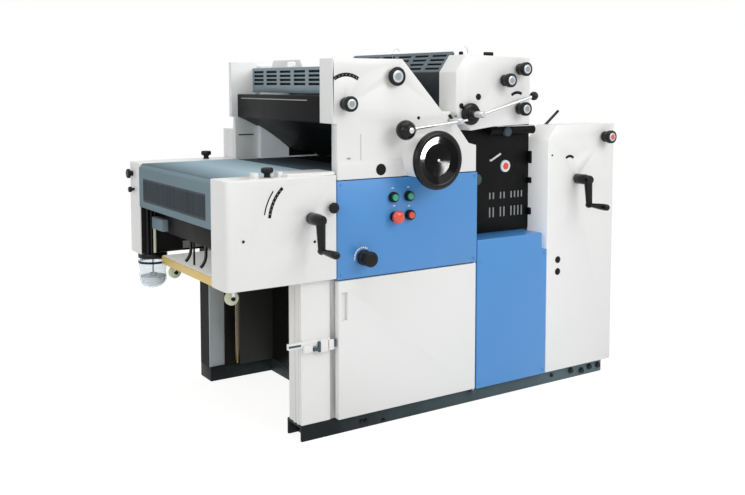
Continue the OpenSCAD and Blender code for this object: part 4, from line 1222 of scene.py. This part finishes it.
class MACHINE_OT_linings(bpy.types.Operator):
    """Puts dark sheets of painted shade behind the guards and under the hood, a painted highlight on the ink
    guard, and small fittings on top of the heads
    """
    bl_idname = "machine.linings"
    bl_label = "Linings and Top Fittings"

    def execute(self, context):
        dark, pale, wire = bmesh.new(), bmesh.new(), bmesh.new()
        self.shade_behind_guards(dark)
        self.under_hood(dark, pale)
        self.under_guard(dark, pale)
        self.top_fittings(dark, wire)
        place("dark_linings", dark, dark_slot)
        place("inner_rail", pale, print_grey)
        place("top_wires", wire, print_white)
        return {"FINISHED"}

    def shade_behind_guards(self, dark):
        """Painted shade: a dark sheet behind the first guard's slots, and one that leans with the second
        guard's slope.
        """
        low, high = span("vent_guard_first")
        behind = high[0] + 4
        # A dark sheet seen through the first guard's slots, painted shade
        box(dark, (behind, low[1] + 6, low[2] + 24), (behind + 2, high[1] - 4, high[2] - 30))
        low, high = span("vent_guard_second")
        run, rise = 62, 85
        part = bmesh.new()
        box(part, (0, low[1] + 6, 0), (2, high[1] - 4, math.hypot(run, rise) - 8))
        part.transform(at(low[0] + 14, 0, high[2] - rise, Matrix.Rotation(math.atan2(run, rise), 4, "Y")))
        join(dark, part)

    def under_hood(self, dark, pale):
        """The rear box's inner wall with frames in painted shade and a pale rail, the rear post's left face
        in painted shade, and two rods.
        """
        wall = span("delivery_box_rear")[0][1]
        # Dark plates on the rear box's inner wall: the frames there, darkened as painted shade
        for x0, x1, z0, z1 in ((-938, -758, 600, 800), (-758, -510, 638, 800), (-758, -510, 598, 606)):
            box(dark, (x0, wall - 4, z0), (x1, wall, z1))
        box(pale, (-758, wall - 3, 606), (-510, wall, 638))
        low, high = span("rear_post")
        # A dark strip over the rear post's left face: painted shade of its hollow side
        box(dark, (low[0] - 1, low[1] + 5, low[2]), (low[0], high[1] - 5, high[2]))
        bar = span("delivery_crossbar")[0]
        for y in (-15, -305):
            ring_path(dark, [(bar[0] + 12, y, 608), (bar[0] + 12, y, bar[2] + 2)], 4, 12)

    def under_guard(self, dark, pale):
        """A dark plate of painted shade on the rear side frame under the ink guard, and a pale strip of
        painted highlight along the ink guard.
        """
        wall = span("rear_side_frame")[0][1]
        # Painted shade on the pale wall under the ink guard
        box(dark, (-254, wall - 2, 986), (-60, wall, 1060))
        face = span("ink_guard")[0][0]
        # A pale strip on the ink guard's face: a painted highlight near its top edge
        box(pale, (face - 1, -258, 1247), (face, 330, 1251))

    def top_fittings(self, dark, wire):
        """A wire hook and a wire handle, a clip and a small knob."""
        hook = [(-235, -465, 1400), (-237, -465, 1425), (-228, -465, 1442), (-214, -465, 1446),
                (-203, -465, 1436)]
        ring_path(wire, hook, 3, 12)
        handle = [(150, -440, 1424), (150, -440, 1450), (142, -440, 1462), (132, -440, 1462)]
        ring_path(wire, handle, 2.5, 12)
        rounded_box(dark, (236, -446, 1424), (282, -434, 1442), 3)
        lathe(dark, [(0, 0), (9, 0), (9, 12), (6, 16), (0, 17)], at(122, -432, 1426, UP), 20)


class MACHINE_OT_screws(bpy.types.Operator):
    """Sets screws in the covers and bolts in the base"""
    bl_idname = "machine.screws"
    bl_label = "Screws and Bolts"
    rail_face = -470

    def execute(self, context):
        # A head stands on a neck about half as long as the head is tall
        neck = size("screw_h") * 0.5
        face = FACE - neck
        rear = -FACE + neck
        blue = ((-488, 944), (142, 944), (-488, 606), (142, 606), (175, 80), (529, 80), (175, 590),
                (529, 590))
        screws("panel_screws", [(x, face, z) for x, z in blue], FRONT, blue_enamel)
        screws("cover_screws", [(x, face, 80) for x in (562, 929)], FRONT, white_enamel)
        screws("dark_screw", [(-880, face, 771)], FRONT, grip_plastic, 1.2)
        behind = [(x, rear, z) for x in (-480, -160, 140, 520) for z in (90, 640)]
        behind += [(x, rear, z) for x in (570, 920) for z in (90, 560, 1040)]
        screws("rear_screws", behind, REAR, bright_steel)
        self.bolts("base_bolts", ((-381, 27), (-361, 27), (-281, 12), (610, 33)), neck * 2, 2.0)
        self.bolts("foot_bolts", ((725, 35), (792, 24), (842, 33), (896, 32)), neck * 3, 3.2)
        return {"FINISHED"}

    def bolts(self, name, spots, neck, scale):
        """Black bolt heads on the front of the base rail."""
        points = [(x, self.rail_face - neck, z) for x, z in spots]
        screws(name, points, FRONT, grip_plastic, scale)


class MACHINE_OT_chain(bpy.types.Operator):
    """Hangs the lifting chain beside the rear post, one link to each point"""
    bl_idname = "machine.chain"
    bl_label = "Lifting Chain"

    def execute(self, context):
        low, high = span("rear_post")
        pitch = 12.7
        graph, given = new_tree("chain_links", {"Link": "Vector", "Pin": "Float"})
        plate = graph.node("GeometryNodeMeshCube", None, {"Size": given["Link"]})
        pin = graph.node("GeometryNodeMeshCylinder", {"fill_type": "NGON"},
                         {"Vertices": 12, "Radius": given["Pin"], "Depth": 9 * MM})
        across = graph.node("GeometryNodeTransform", None, {"Geometry": pin, "Rotation": FRONT.to_euler()})
        link = graph.node("GeometryNodeJoinGeometry", None, {"Geometry": [plate, across]})
        count = int((high[2] - low[2]) / pitch) - 1
        points = [(-515, 352, low[2] + (i + 0.8) * pitch) for i in range(count)]
        values = {"Link": mm(5, 5, 11), "Pin": 3.2 * MM}
        mesh = spread("lift_chain", graph, given, link, points, values, brass_tube)
        add_piece("lift_chain", mesh)
        return {"FINISHED"}


# Stage

# Lamps, in metres and watts: name, place, aim, width, height, power
LAMPS = (
    ("key", (1.6, -4.6, 3.4), (0, 0, 0.75), 3.2, 2.4, 94),
    ("top", (-0.6, -0.6, 4.6), (-0.2, 0, 0.6), 4.0, 3.0, 60),
    ("left", (-4.6, -1.8, 2.6), (0, 0, 0.7), 1.8, 2.2, 34),
    ("fill", (-3.0, -4.2, 2.0), (0, 0, 0.8), 2.0, 1.6, 14),
)


class MACHINE_OT_stage(bpy.types.Operator):
    """Sets the pale floor, soft lights, white surroundings and the camera"""
    bl_idname = "machine.stage"
    bl_label = "Stage"

    def execute(self, context):
        scene = bpy.context.scene
        scene.view_settings.view_transform = "Standard"
        self.floor()
        self.world(scene)
        for lamp in LAMPS:
            self.lamp(*lamp)
        x, _, z = PIVOTS["handwheel"]
        glint = self.lamp("glint", (1.16, -1.05, 0.39), mm(x, FACE - 100, z), 0.9, 0.9, 480)
        glint.visible_diffuse = False
        glint.light_linking.receiver_collection = self.only("handwheel_dish")
        wash = self.lamp("wash", (-1.9, -0.2, 1.3), (0.547, -0.4, 0.9), 1.0, 1.0, 22)
        wash.light_linking.receiver_collection = self.only("feeder_box_front_skin")
        wash.light_linking.blocker_collection = wash.light_linking.receiver_collection
        self.camera(scene)
        return {"FINISHED"}

    def camera(self, scene):
        """The photo's viewpoint, pitched a little down."""
        camera = bpy.data.objects.new("camera", bpy.data.cameras.new("camera"))
        scene.collection.objects.link(camera)
        camera.location = (-2.2304, -3.3755, 1.3174)
        camera.rotation_euler = (math.radians(90 - 4.2165), 0, math.radians(-33.19))
        camera.data.sensor_width = 36
        camera.data.lens = 44.685
        camera.data.shift_y = -0.13
        scene.camera = camera

    def floor(self):
        """A wide pale floor that glows a little for the camera."""
        bm = bmesh.new()
        bmesh.ops.create_grid(bm, x_segments=1, y_segments=1, size=40)
        for vert in bm.verts:
            vert.co.z = -0.5 * MM
        mesh = bpy.data.meshes.new("floor")
        bm.to_mesh(mesh)
        bm.free()
        made = Finish("floor_white")
        matte = made.node("ShaderNodeBsdfDiffuse", None, {"Color": (0.9, 0.9, 0.9, 1)})
        glow = made.node("ShaderNodeEmission", None, {"Color": (1, 1, 1, 1), "Strength": 1.3})
        mixed = made.node("ShaderNodeMixShader", None, {0: self.looked_at(made) * 0.68, 1: matte, 2: glow})
        made.node("ShaderNodeOutputMaterial", None, {"Surface": mixed})
        mesh.materials.append(made.material)
        floor = bpy.data.objects.new("floor", mesh)
        bpy.context.scene.collection.objects.link(floor)

    def world(self, scene):
        """White for the camera, a softer white for the light on the machine."""
        world = bpy.data.worlds.new("surroundings")
        world.use_nodes = True
        scene.world = world
        graph = Graph(world.node_tree)
        graph.tree.nodes.clear()
        soft = graph.node("ShaderNodeBackground", None, {"Color": (0.98, 0.99, 1.0, 1), "Strength": 0.42})
        white = graph.node("ShaderNodeBackground", None, {"Color": (1, 1, 1, 1), "Strength": 1.0})
        mixed = graph.node("ShaderNodeMixShader", None, {0: self.looked_at(graph), 1: soft, 2: white})
        graph.node("ShaderNodeOutputWorld", None, {"Surface": mixed})

    def looked_at(self, graph):
        """One for what the camera sees, straight, in a reflection or through glass."""
        camera = graph.node("ShaderNodeLightPath", output="Is Camera Ray")
        glossy = graph.node("ShaderNodeLightPath", output="Is Glossy Ray")
        through = graph.node("ShaderNodeLightPath", output="Is Transmission Ray")
        return camera + glossy + through

    def only(self, piece):
        """A collection of one piece, for a lamp that lights nothing else."""
        held = bpy.data.collections.new("lit_" + piece)
        held.objects.link(bpy.data.objects[piece])
        return held

    def lamp(self, name, spot, aim, wide, tall, power):
        """An oblong lamp that the camera does not see."""
        data = bpy.data.lights.new(name, "AREA")
        data.shape = "RECTANGLE"
        data.size = wide
        data.size_y = tall
        data.energy = power
        lamp = bpy.data.objects.new(name, data)
        lamp.visible_camera = False
        lamp.location = spot
        lamp.rotation_euler = (Vector(aim) - Vector(spot)).to_track_quat("-Z", "Y").to_euler()
        bpy.context.scene.collection.objects.link(lamp)
        return lamp


OPERATORS = (
    MACHINE_OT_covers, MACHINE_OT_panels, MACHINE_OT_frames, MACHINE_OT_hood, MACHINE_OT_guards,
    MACHINE_OT_pile, MACHINE_OT_jar, MACHINE_OT_rollers, MACHINE_OT_handwheel, MACHINE_OT_cranks,
    MACHINE_OT_levers, MACHINE_OT_knobs, MACHINE_OT_buttons, MACHINE_OT_slots, MACHINE_OT_dials,
    MACHINE_OT_recess, MACHINE_OT_latch, MACHINE_OT_trims, MACHINE_OT_linings, MACHINE_OT_screws,
    MACHINE_OT_chain, MACHINE_OT_stage,
)


class MACHINE_PT_parts(bpy.types.Panel):
    """Shows the colours and sizes of the printing machine and the steps that build it"""
    bl_idname = "MACHINE_PT_parts"
    bl_label = "Printing Machine"
    bl_space_type = "VIEW_3D"
    bl_region_type = "UI"
    bl_category = "Printing Machine"

    def draw(self, context):
        for group in (context.scene.machine_colours, context.scene.machine_sizes):
            column = self.layout.column()
            for name in group.bl_rna.properties.keys():
                if name not in ("rna_type", "name"):
                    column.prop(group, name)
        for operator in OPERATORS:
            self.layout.operator(operator.bl_idname)


CLASSES = (FinishColours, FinishSizes) + OPERATORS + (MACHINE_PT_parts,)


def register():
    for item in CLASSES:
        bpy.utils.register_class(item)
    bpy.types.Scene.machine_colours = bpy.props.PointerProperty(type=FinishColours)
    bpy.types.Scene.machine_sizes = bpy.props.PointerProperty(type=FinishSizes)


def unregister():
    del bpy.types.Scene.machine_sizes
    del bpy.types.Scene.machine_colours
    for item in reversed(CLASSES):
        bpy.utils.unregister_class(item)


def main():
    register()
    for operator in OPERATORS:
        group, name = operator.bl_idname.split(".")
        getattr(getattr(bpy.ops, group), name)()


if __name__ == "__main__":
    main()
